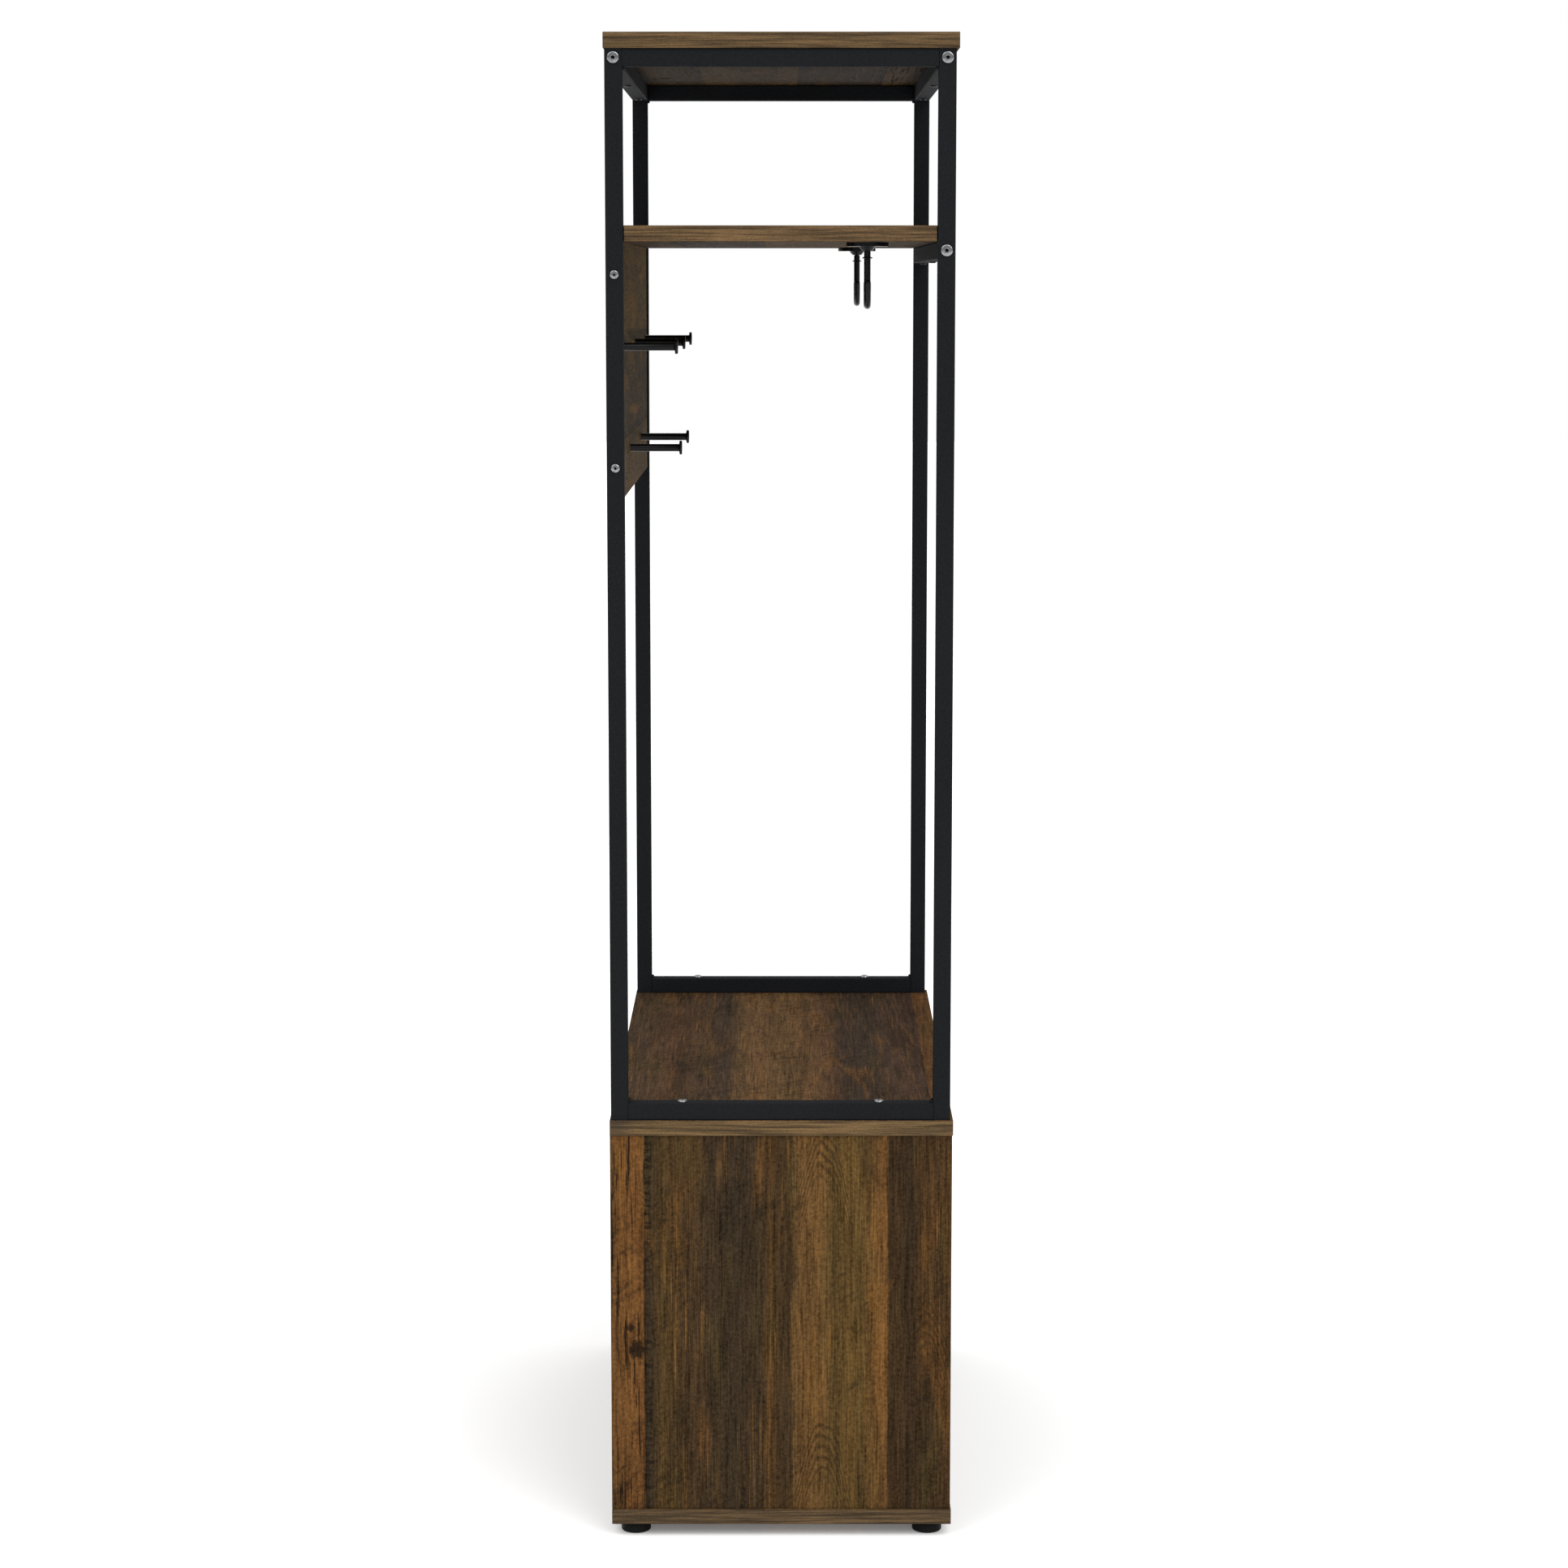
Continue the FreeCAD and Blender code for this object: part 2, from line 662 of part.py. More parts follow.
def shelf_dowels():
    return group([Part.makeCylinder(dowel_diameter / 2, dowel_in_board + dowel_in_panel,
                                    Vector(x, y, shelf_bottom - dowel_in_panel), Z_AXIS)
                  for x, y in shelf_dowel_places()])


def cam_locks():
    """Drum of each cam fitting, with a cross slot in its face and a bore for the cam bolt."""
    slot_length, slot_width, slot_depth = cam_slot
    cams = []
    for side, y in cam_places():
        for level, inward in panel_edges():
            centre = Vector(side * panel_inner, y, level + inward * cam_setback)
            cam = Part.makeCylinder(cam_diameter / 2, cam_depth, centre, X_AXIS * side)
            for half_y, half_z in ((slot_length / 2, slot_width / 2), (slot_width / 2, slot_length / 2)):
                slot = block((centre.x, centre.x + side * slot_depth), (y - half_y, y + half_y),
                             (centre.z - half_z, centre.z + half_z))
                cam = cam.cut(slot)
            bore = hole(Vector(side * (panel_outer - board / 2), y, level), Z_AXIS * inward,
                        cam_bolt_diameter, cam_setback, cam_bolt_side_clearance)
            cams.append(cam.cut(bore))
    return group(cams)


def cam_bolts():
    bolts = []
    for side, y in cam_places():
        for level, inward in panel_edges():
            edge = Vector(side * (panel_outer - board / 2), y, level)
            rod = Part.makeCylinder(cam_bolt_diameter / 2, cam_setback, edge, Z_AXIS * inward)
            thread = Part.makeCylinder(cam_bolt_thread_diameter / 2, cam_bolt_thread, edge, Z_AXIS * -inward)
            bolts.append(rod.fuse(thread).removeSplitter())
    return group(bolts)


def shelf_pins():
    level = cubby_shelf_bottom - shelf_pin_diameter / 2
    pins = []
    for x, out, y in shelf_pin_places():
        face = Vector(x, y, level)
        inside = Part.makeCylinder(shelf_pin_hole_diameter / 2, shelf_pin_in_panel, face, X_AXIS * -out)
        outside = Part.makeCylinder(shelf_pin_diameter / 2, shelf_pin_outside, face, X_AXIS * out)
        pins.append(inside.fuse(outside).removeSplitter())
    return group(pins)


def foot(x, y):
    """Plastic glide with a rounded lower rim and a recess that hides its screw."""
    shape = Part.makeCylinder(foot_diameter / 2, foot_height)
    rim = [edge for edge in shape.Edges if edge.BoundBox.ZMax < tolerance]
    shape = shape.makeFillet(foot_rim_round, rim)
    shape = shape.cut(Part.makeCylinder(foot_recess_diameter / 2, foot_height - foot_floor))
    shape = shape.cut(hole(Vector(0, 0, 0), Z_AXIS, foot_screw[2], foot_height))
    shape.translate(Vector(x, y, 0))
    return shape


def build():
    nodes = {
        "top_board": top_board(),
        "shelf_board": shelf_board(),
        "bench_board": bench_board(),
        "base_board": base_board(),
        "centre_divider": centre_divider(),
        "back_panel": back_panel(),
        "peg_panel": peg_panel(),
        "front_top_rail": long_tube(front_post_middle, frame_top, top_screw_places()),
        "rear_top_rail": long_tube(rear_post_middle, frame_top, top_screw_places()),
        "shelf_tube": long_tube(front_post_middle, shelf_bottom, shelf_screw_places()),
        "tube_end_plugs": tube_end_plugs(),
        "frame_bolts": frame_bolts(),
        "peg_panel_bolts": peg_panel_bolts(),
        "bottom_rail_screws": bottom_rail_screws(),
        "top_board_screws": under_screws(top_screw_places(), frame_top - tube),
        "shelf_screws": under_screws(shelf_screw_places(), shelf_bottom - tube),
        "peg_screws": peg_screws(),
        "foot_screws": foot_screws(),
        "hook_plate_screws": hook_plate_screws(),
        "cabinet_dowels": cabinet_dowels(),
        "shelf_dowels": shelf_dowels(),
        "cam_locks": cam_locks(),
        "cam_bolts": cam_bolts(),
        "shelf_pins": shelf_pins(),
    }
    for name, side in SIDES:
        nodes[name + "_end_panel"] = end_panel(side)
        nodes[name + "_cubby_shelf"] = cubby_shelf(side)
        nodes[name + "_front_post"] = post(side, front=True)
        nodes[name + "_rear_post"] = post(side, front=False)
        nodes[name + "_top_rail"] = end_rail(side, frame_top - tube)
        nodes[name + "_bottom_rail"] = end_rail(side, bench_height)
        nodes[name + "_frame_welds"] = frame_welds(side)
        nodes[name + "_hook_plate"] = hook_plate(side)
        nodes[name + "_hook"] = hook(side)
    for name, (x, z) in peg_places().items():
        nodes[name] = peg(x, z)
    for name, (x, y) in foot_places().items():
        nodes[name] = foot(x, y)
    return nodes


os.makedirs("parts", exist_ok=True)
for node, shape in build().items():
    shape.exportStep("parts/" + node + ".step")
    state = "valid" if shape.isValid() else "INVALID"
    print(node, len(shape.Solids), "solids", round(shape.Volume), "mm3", state)
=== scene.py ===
import math

import bmesh
import bpy
from bmesh.types import BMEdge, BMFace, BMVert
from mathutils import Matrix, Quaternion, Vector


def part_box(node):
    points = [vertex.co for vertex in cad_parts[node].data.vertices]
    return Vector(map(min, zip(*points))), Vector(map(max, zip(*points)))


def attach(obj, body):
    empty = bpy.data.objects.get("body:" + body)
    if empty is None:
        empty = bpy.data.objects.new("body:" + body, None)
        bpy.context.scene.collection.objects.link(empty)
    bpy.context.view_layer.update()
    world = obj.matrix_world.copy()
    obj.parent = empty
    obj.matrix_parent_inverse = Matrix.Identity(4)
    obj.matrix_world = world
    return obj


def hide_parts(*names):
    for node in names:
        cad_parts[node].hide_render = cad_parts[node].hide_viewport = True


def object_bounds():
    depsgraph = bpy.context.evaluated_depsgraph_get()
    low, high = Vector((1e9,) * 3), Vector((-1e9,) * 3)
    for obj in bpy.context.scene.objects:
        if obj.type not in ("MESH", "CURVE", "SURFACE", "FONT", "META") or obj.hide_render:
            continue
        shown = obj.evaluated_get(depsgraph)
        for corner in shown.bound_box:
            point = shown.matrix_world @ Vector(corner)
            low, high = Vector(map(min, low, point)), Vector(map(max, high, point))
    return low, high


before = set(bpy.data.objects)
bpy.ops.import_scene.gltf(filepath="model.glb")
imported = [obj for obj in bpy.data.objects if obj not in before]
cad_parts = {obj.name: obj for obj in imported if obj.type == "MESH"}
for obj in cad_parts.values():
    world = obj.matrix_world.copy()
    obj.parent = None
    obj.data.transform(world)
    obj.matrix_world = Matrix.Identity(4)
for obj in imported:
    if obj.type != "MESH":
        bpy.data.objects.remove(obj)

cad_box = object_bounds()

MM = 0.001
X, Y, Z = Vector((1, 0, 0)), Vector((0, 1, 0)), Vector((0, 0, 1))
ENDS = {"left": -1, "right": 1}
PEGS = ("peg_upper_left", "peg_upper_middle", "peg_upper_right", "peg_lower_left", "peg_lower_right")
CARCASS = "frame_and_cabinet"


# ---- finishes: a small language for shader maths ----

class Wire:
    """A number that a node gives out. Sums and products of wires add the Math nodes."""

    def __init__(self, finish, socket):
        self.finish = finish
        self.socket = socket

    def maths(self, operation, *others):
        return self.finish.add("ShaderNodeMath", {"operation": operation}, dict(enumerate((self, *others))))

    def __add__(self, other):
        return self.maths("ADD", other)

    __radd__ = __add__

    def __sub__(self, other):
        return self.maths("SUBTRACT", other)

    def __rsub__(self, other):
        return self.finish.add("ShaderNodeMath", {"operation": "SUBTRACT"}, {0: other, 1: self})

    def __mul__(self, other):
        return self.maths("MULTIPLY", other)

    __rmul__ = __mul__

    def __truediv__(self, other):
        return self.maths("DIVIDE", other)

    def __abs__(self):
        return self.maths("ABSOLUTE")

    def sine(self):
        return self.maths("SINE")

    def root(self):
        return self.maths("SQRT")

    def larger(self, other):
        return self.maths("MAXIMUM", other)

    def rise(self, low, high):
        """0 below low and 1 above high, with a smooth climb between; it falls where low is the larger."""
        settings = {"interpolation_type": "SMOOTHSTEP"}
        if low > high:
            return 1 - self.finish.add("ShaderNodeMapRange", settings, {0: self, 1: high, 2: low})
        return self.finish.add("ShaderNodeMapRange", settings, {0: self, 1: low, 2: high})


def linear(colour):
    """A colour given as 0 to 255 on the screen, as the light it stands for."""
    parts = [c / 255 for c in colour]
    return [c / 12.92 if c <= 0.04045 else ((c + 0.055) / 1.055) ** 2.4 for c in parts] + [1.0]


class Finish:
    """A material in the making: its nodes, and the shader at the end of them."""

    def __init__(self, name):
        self.material = bpy.data.materials.new(name)
        self.material.use_nodes = True
        self.tree = self.material.node_tree
        self.shader = self.tree.nodes["Principled BSDF"]

    def add(self, kind, settings, values, out=0):
        """Adds a node, sets what it is told first, then gives its sockets values or wires."""
        node = self.tree.nodes.new(kind)
        for name, value in settings.items():
            setattr(node, name, value)
        self.fill(node, values)
        return Wire(self, node.outputs[out])

    def fill(self, node, values):
        for name, value in values.items():
            if isinstance(value, Wire):
                self.tree.links.new(value.socket, node.inputs[name])
            else:
                node.inputs[name].default_value = value

    def surface(self, **values):
        """Sets the shader's own sockets; names have _ for each space."""
        self.fill(self.shader, {name.replace("_", " "): value for name, value in values.items()})
        return self.material

    def position(self):
        """x, y and z on the object, in metres."""
        place = self.add("ShaderNodeTexCoord", {}, {}, out="Object")
        parts = self.tree.nodes.new("ShaderNodeSeparateXYZ")
        self.fill(parts, {0: place})
        return [Wire(self, parts.outputs[k]) for k in range(3)]

    def noise(self, u, v, w, detail=2.0, roughness=0.5, distortion=0.0):
        """Noise whose features are about one unit across, around 0.5."""
        place = self.add("ShaderNodeCombineXYZ", {}, {0: u, 1: v, 2: w})
        values = {"Vector": place, "Scale": 1.0, "Detail": detail, "Roughness": roughness,
                  "Distortion": distortion}
        return self.add("ShaderNodeTexNoise", {}, values)

    def ramp(self, value, stops, low, high):
        """A colour for each place along value. stops are (place, colour 0 to 255) from low to high."""
        node = self.tree.nodes.new("ShaderNodeValToRGB")
        elements = node.color_ramp.elements
        for k, (place, colour) in enumerate(sorted(stops)):
            at = (place - low) / (high - low)
            stop = elements[k] if k < 2 else elements.new(at)
            stop.position = at
            stop.color = linear(colour)
        self.fill(node, {0: (value - low) / (high - low)})
        return Wire(self, node.outputs[0])

    def mix(self, share, first, second):
        """Colour that goes from the first to the second as share goes from 0 to 1."""
        values = {0: share, 6: first, 7: second}
        return self.add("ShaderNodeMix", {"data_type": "RGBA"}, values, out=2)

    def shade(self, colour, amount):
        """The colour times amount."""
        colour = colour if isinstance(colour, Wire) else colour[:3]
        return self.add("ShaderNodeVectorMath", {"operation": "SCALE"}, {0: colour, "Scale": amount})

    def relief(self, height, depth, strength=1.0):
        """Normal for a surface whose height wire of 1 stands depth metres proud."""
        return self.add("ShaderNodeBump", {}, {"Height": height, "Distance": depth, "Strength": strength})


# ---- rustic laminate: a printed picture of reclaimed planks ----

def rustic_laminate(name, along, across, planks, seed, knots=(), seams=(), arches=(), cracked=(), far=None,
                    underside_shade_level=None):
    """Laminate with the grain on axis along and the planks side by side on axis across; 0, 1, 2 are X, Y, Z.

    planks are (place across, colour) stops; knots are (along, across, radius); seams are places across with
    saw marks beside them; arches are (apex along, middle across, half width) of cathedral grain; cracked is
    the stretch across of a plank with open cracks; far is (from, to) along over which the colour turns
    darker;
    the last argument is the level below which an underside is darkened as painted shade.
    """
    f = Finish(name)
    place = f.position()
    a, c = place[along], place[across]

    def streaks(lengthwise, crosswise, salt, detail=2.0, rough=0.5, distortion=0.0):
        return f.noise(a * lengthwise, c * crosswise, seed + salt, detail, rough, distortion)

    drift = streaks(4, 12, 1.5) - 0.5
    edges = [stop[0] for stop in planks]
    colour = f.ramp(c + drift * 0.003, planks, min(edges), max(edges))

    # Long stripes of dark and of golden grain
    stripe = streaks(2.2, 52, 7.1, 5.0, 0.62, 0.3)
    colour = f.mix(stripe.rise(0.52, 0.70) * 0.42, colour, linear((42, 34, 23)))
    colour = f.mix(stripe.rise(0.46, 0.30) * 0.30, colour, linear((118, 82, 38)))

    # Broad stains, some of them olive
    stain = streaks(5, 19, 11.3, 4.0, 0.6, 0.6).rise(0.50, 0.72)
    colour = f.mix(stain * 0.50, colour, linear((42, 35, 26)))
    glow = streaks(4, 24, 23.1, 4.0, 0.6, 0.5).rise(0.54, 0.72)
    colour = f.mix(glow * 0.45, colour, linear((116, 78, 37)))
    moss = streaks(5, 34, 31.9, 3.0, 0.55).rise(0.52, 0.72)
    colour = f.mix(moss * 0.40, colour, linear((72, 61, 33)))

    # Short strokes aslant to the grain, in patches
    tilt = math.radians(36)
    stroke, aside = a * math.sin(tilt) - c * math.cos(tilt), a * math.cos(tilt) + c * math.sin(tilt)
    hatch = f.noise(stroke * 26, aside * 120, seed + 5.7, 3.0, 0.62).rise(0.50, 0.66)
    hatch = hatch * f.noise(a * 7, c * 15, seed + 6.3, 2.0).rise(0.47, 0.60)
    colour = f.mix(hatch * 0.42, colour, linear((34, 29, 22)))

    # Thin pale streaks in some places
    thin = streaks(10, 380, 41.7, 3.0, 0.6).rise(0.56, 0.68) * streaks(5, 24, 47.9, 2.0).rise(0.48, 0.60)
    colour = f.mix(thin * 0.42, colour, linear((132, 93, 44)))

    # Open cracks in the oldest plank, a few of them elsewhere
    crack = streaks(13, 300, 53.3, 3.0, 0.65, 0.2).rise(0.54, 0.60)
    where = streaks(9, 40, 59.1, 3.0).rise(0.54, 0.66) * 0.40
    for low, high in cracked:
        inside = c.rise(low, low + 0.002) * c.rise(high, high - 0.002)
        where = where.larger(inside * streaks(7, 55, 61.7, 3.0).rise(0.36, 0.58))
    crack = crack * where

    # Cathedral grain: nested steep arches about the middle of a plank, below an apex
    for apex, middle, half in arches:
        out = (c - middle) / half + (streaks(9, 30, 67.3, 2.0) - 0.5) * 0.5
        level = (apex - a) - out * out * half * 2.6 + (streaks(5, 60, 69.1, 3.0) - 0.5) * 0.03
        lines = (level * (2 * math.pi / 0.013)).sine().rise(-0.2, 0.9)
        shown = level.rise(-0.004, 0.012) * level.rise(half * 3.2, half * 1.6)
        colour = f.mix(lines * shown * 0.55, colour, linear((50, 38, 24)))

    # A dark seam with broken saw marks on one side of it
    saw = 0.0
    for seam, way in seams:
        off = (c - seam) * way
        rungs = f.noise(a * 190, c * 40, seed + 73.7, 3.0, 0.6).rise(0.50, 0.58)
        patches = streaks(8, 30, 79.1, 3.0).rise(0.34, 0.50)
        beside = off.rise(0.012, 0.005) * off.rise(-0.0004, 0.0006) * patches
        line = abs(off + (streaks(50, 10, 83.9) - 0.5) * 0.0016).rise(0.0018, 0.0005)
        saw = saw + beside * rungs * 0.8 + line * streaks(20, 10, 85.1).rise(0.30, 0.55) * 0.8
    if seams:
        colour = f.mix(saw * 0.9, colour, linear((27, 22, 17)))

    # Knots, with a dark heart and a ring of disturbed grain
    for knot_a, knot_c, radius in knots:
        ripple = (f.noise(a * 150, c * 230, seed + 89.3, 4.0, 0.7) - 0.5) * 1.8
        down, over = (a - knot_a) / (1.15 * radius), (c - knot_c) / radius
        reach = (down * down + over * over).root() + ripple
        rings = (reach * 8).sine().rise(-0.2, 0.9) * reach.rise(2.8, 1.0)
        colour = f.mix(rings * 0.30, colour, linear((52, 37, 22)))
        crack = crack.larger(reach.rise(1.25, 0.70))

    colour = f.mix(crack * 0.88, colour, linear((27, 23, 18)))

    # Grain, fibre and speckle of the print
    grain = streaks(10, 190, 97.1, 3.0, 0.65)
    fibre = streaks(22, 520, 101.3, 3.0, 0.6)
    thickness = place[3 - along - across]
    speckle = f.noise(a * 260, c * 260, thickness * 260, 3.0, 0.8)
    tone = 0.88 + (grain - 0.5) * 1.1 + (fibre - 0.5) * 1.6 + (speckle - 0.5) * 2.0
    # Darker towards one end along the grain, over the stretch given by far.
    if far:
        tone = tone * (1 - a.rise(*far) * 0.22)
    # Painted shade: the underside below the given level is darkened to half, as if in the shadow under the
    # board.
    if underside_shade_level is not None:
        tone = tone * (1 - place[2].rise(underside_shade_level + 0.6 * MM, underside_shade_level + 0.2 * MM) * 0.5)
    colour = f.shade(colour, tone)

    rough = 0.66 + (grain - 0.5) * 0.3 + crack * 0.2
    height = grain * 0.5 + fibre * 0.4 + speckle * 0.3 - crack * 1.2 - saw
    return f.surface(Base_Color=colour, Roughness=rough, Specular_IOR_Level=0.01,
                     Normal=f.relief(height, 0.00014, 0.6))


def edge_banding(name, length_axes, colour, seed, smudge=None):
    """Banding glued round a board, with fine grain along the edge.

    smudge is (from, to) across the depth where the print turns dark.
    """
    f = Finish(name)
    place = f.position()
    slow, quick = 13.0, 430.0  # features in a metre, with the grain and across it
    u, v, w = [place[k] * (slow if k in length_axes else quick) for k in range(3)]
    drift = f.noise(u * 0.5, v * 0.5, w * 0.02 + seed, 3.0, 0.6) - 0.5
    grain = f.noise(u * 0.6, v * 0.6, w * 0.8 + drift * 1.5, 4.0, 0.68)
    fine = f.noise(u * 4, v * 4, w * 2.2, 2.0, 0.6)
    speckle = f.noise(place[0] * 420, place[1] * 420, place[2] * 420 + seed, 2.0, 0.7)
    dark, pale = [linear([part * share for part in colour]) for share in (0.62, 1.14)]
    body = f.mix(grain.rise(0.34, 0.66), dark, pale)
    stain = f.noise(u * 0.35, v * 0.35, w * 0.1 + seed + 7, 3.0, 0.6).rise(0.56, 0.70)
    if smudge:
        patches = f.noise(u, v, w * 0.2 + seed + 9, 3.0).rise(0.30, 0.55)
        stain = stain.larger(place[1].rise(*smudge) * patches * 1.4)
    body = f.mix(stain * 0.45, body, linear((50, 42, 34)))
    tone = 1.0 + (fine - 0.5) * 0.9 + (speckle - 0.5) * 0.9 + drift * 0.25
    height = grain * 0.6 + fine * 0.4
    return f.surface(Base_Color=f.shade(body, tone), Roughness=0.54 + (grain - 0.5) * 0.2,
                     Specular_IOR_Level=0.12, Normal=f.relief(height, 0.00012, 0.5))


# ---- metals, plastic and beech ----

def powder_coat():
    f = Finish("black_powder_coat")
    x, y, z = f.position()
    peel = f.noise(x * 900, y * 900, z * 900, 2.0, 0.6)
    fleck = f.noise(x * 360, y * 360, z * 360, 2.0, 0.7)
    cloud = f.noise(x * 9, y * 9, z * 5, 2.0)
    tone = 1.0 + (fleck - 0.5) * 0.9 + (cloud - 0.5) * 0.25
    return f.surface(Base_Color=f.shade(linear((28, 29, 31)), tone), Roughness=0.66 + (fleck - 0.5) * 0.3,
                     Normal=f.relief(peel + fleck, 0.00012, 0.55), Specular_IOR_Level=0.02)


def cast_black():
    f = Finish("glossy_black_enamel")
    x, y, z = f.position()
    ripple = f.noise(x * 120, y * 120, z * 120, 2.0, 0.5)
    dust = f.noise(x * 700, y * 700, z * 700, 2.0, 0.7)
    return f.surface(Base_Color=f.shade(linear((9, 9, 10)), 0.8 + dust * 0.4), Roughness=0.24 + dust * 0.14,
                     Normal=f.relief(ripple, 0.00020, 0.4), Specular_IOR_Level=0.18)


def plated(name, colour, roughness, wear):
    """Plated metal with fine turning marks and a little grime."""
    f = Finish(name)
    x, y, z = f.position()
    scratch = f.noise(x * 1500, y * 1500, z * 1500, 3.0, 0.7)
    grime = f.noise(x * 260, y * 260, z * 260, 3.0, 0.6).rise(0.48, 0.66)
    body = f.mix(grime * wear, linear(colour), linear([part * 0.55 for part in colour]))
    return f.surface(Base_Color=f.shade(body, 0.9 + scratch * 0.2), Metallic=1.0,
                     Roughness=roughness + grime * 0.18 + (scratch - 0.5) * 0.1,
                     Normal=f.relief(scratch, 0.00003, 0.5))


def moulded_plastic():
    f = Finish("moulded_black_plastic")
    x, y, z = f.position()
    texture = f.noise(x * 1300, y * 1300, z * 1300, 2.0, 0.6)
    scuff = f.noise(x * 90, y * 90, z * 260, 3.0, 0.6).rise(0.52, 0.72)
    body = f.mix(scuff * 0.35, linear((12, 12, 13)), linear((28, 28, 29)))
    return f.surface(Base_Color=f.shade(body, 0.85 + texture * 0.3), Roughness=0.50 + scuff * 0.2,
                     Normal=f.relief(texture, 0.00006, 0.6), Specular_IOR_Level=0.12)


def beech():
    f = Finish("beech_dowel")
    x, y, z = f.position()
    grain = f.noise(x * 900, y * 900, z * 40, 3.0, 0.6)
    fleck = f.noise(x * 1400, y * 1400, z * 300, 2.0).rise(0.58, 0.68)
    body = f.mix(grain.rise(0.35, 0.65), linear((186, 146, 104)), linear((214, 178, 136)))
    return f.surface(Base_Color=f.mix(fleck * 0.5, body, linear((150, 104, 66))),
                     Roughness=0.6 + grain * 0.15, Normal=f.relief(grain, 0.00005, 0.5))


def back_board_laminate():
    """Thin hardboard back with a plain brown print, its grain upright."""
    f = Finish("back_board_print")
    x, y, z = f.position()
    wander = f.noise(x * 9, y * 9, z * 3, 2.0) - 0.5
    grain = f.noise(x * 260 + wander * 6, y * 90, z * 9, 4.0, 0.66)
    fibre = f.noise(x * 620, y * 200, z * 34, 2.0, 0.6)
    band = f.noise(x * 30, y * 9, z * 1.8, 4.0, 0.6, 0.3)
    speckle = f.noise(x * 420, y * 420, z * 420, 3.0, 0.75)
    body = f.mix(band.rise(0.38, 0.62), linear((58, 45, 31)), linear((86, 64, 39)))
    body = f.mix(grain.rise(0.56, 0.68) * 0.5, body, linear((42, 33, 24)))
    tone = 0.92 + (grain - 0.5) * 0.9 + (fibre - 0.5) * 1.2 + (speckle - 0.5) * 1.4
    return f.surface(Base_Color=f.shade(body, tone), Roughness=0.68 + (grain - 0.5) * 0.2,
                     Specular_IOR_Level=0.01, Normal=f.relief(grain * 0.6 + fibre * 0.4, 0.00012, 0.5))


def pale_floor():
    f = Finish("pale_studio_floor")
    x, y, z = f.position()
    cloud = f.noise(x * 1.5, y * 1.5, z, 2.0)
    return f.surface(Base_Color=f.shade(linear((252, 252, 252)), 0.99 + cloud * 0.02), Roughness=0.9,
                     Specular_IOR_Level=0.0, Emission_Color=(1.0, 1.0, 1.0, 1.0), Emission_Strength=0.14)


# ---- the finishes of this hall tree; planks are (metres across the board, colour) ----

END_PANEL_PLANKS = (
    (-0.200, (73, 51, 31)), (-0.190, (62, 46, 30)), (-0.165, (69, 50, 31)), (-0.150, (56, 43, 30)),
    (-0.138, (64, 47, 30)), (-0.1262, (55, 41, 28)), (-0.1250, (66, 50, 30)), (-0.1240, (106, 74, 41)),
    (-0.112, (103, 73, 41)), (-0.092, (84, 66, 37)), (-0.078, (94, 71, 39)), (-0.062, (82, 64, 36)),
    (-0.045, (103, 75, 43)), (-0.025, (98, 71, 41)), (-0.0135, (91, 69, 42)), (-0.0122, (62, 48, 32)),
    (0.000, (64, 49, 32)), (0.012, (74, 54, 32)), (0.024, (60, 47, 33)), (0.050, (56, 45, 33)),
    (0.085, (58, 46, 33)), (0.105, (66, 50, 33)), (0.128, (72, 54, 33)), (0.140, (78, 60, 35)),
    (0.1540, (56, 45, 32)), (0.1595, (50, 41, 30)), (0.1610, (99, 66, 36)), (0.172, (108, 73, 41)),
    (0.186, (102, 69, 38)), (0.200, (95, 67, 39)),
)
BENCH_PLANKS = (
    (-0.200, (101, 70, 42)), (-0.1785, (95, 65, 40)), (-0.1765, (63, 48, 39)), (-0.150, (75, 56, 44)),
    (-0.115, (63, 51, 41)), (-0.080, (61, 49, 40)), (-0.060, (85, 62, 44)), (-0.035, (99, 73, 48)),
    (0.000, (95, 72, 47)), (0.035, (101, 75, 50)), (0.055, (89, 68, 46)), (0.070, (67, 54, 43)),
    (0.110, (75, 57, 42)), (0.140, (81, 59, 42)), (0.170, (73, 57, 43)), (0.200, (71, 57, 44)),
)
TOP_PLANKS = (
    (-0.200, (82, 62, 37)), (-0.131, (90, 66, 37)), (-0.129, (62, 49, 33)), (-0.060, (70, 54, 34)),
    (-0.021, (60, 48, 33)), (-0.019, (98, 72, 39)), (0.050, (88, 67, 39)), (0.099, (94, 70, 38)),
    (0.101, (66, 52, 33)), (0.150, (74, 56, 34)), (0.200, (64, 50, 33)),
)
# The peg panel's plank colours are its own print, darkened throughout as painted shade.
PEG_PANEL_SHADED_PLANKS = (
    (1.220, (76, 60, 37)), (1.289, (67, 54, 35)), (1.291, (54, 46, 33)), (1.370, (61, 50, 34)),
    (1.409, (56, 47, 33)), (1.411, (83, 65, 38)), (1.470, (74, 59, 37)), (1.515, (81, 63, 37)),
)
SHELF_PLANKS = tuple((-place, colour) for place, colour in TOP_PLANKS)
BANDING_COLOUR = (93, 73, 48)

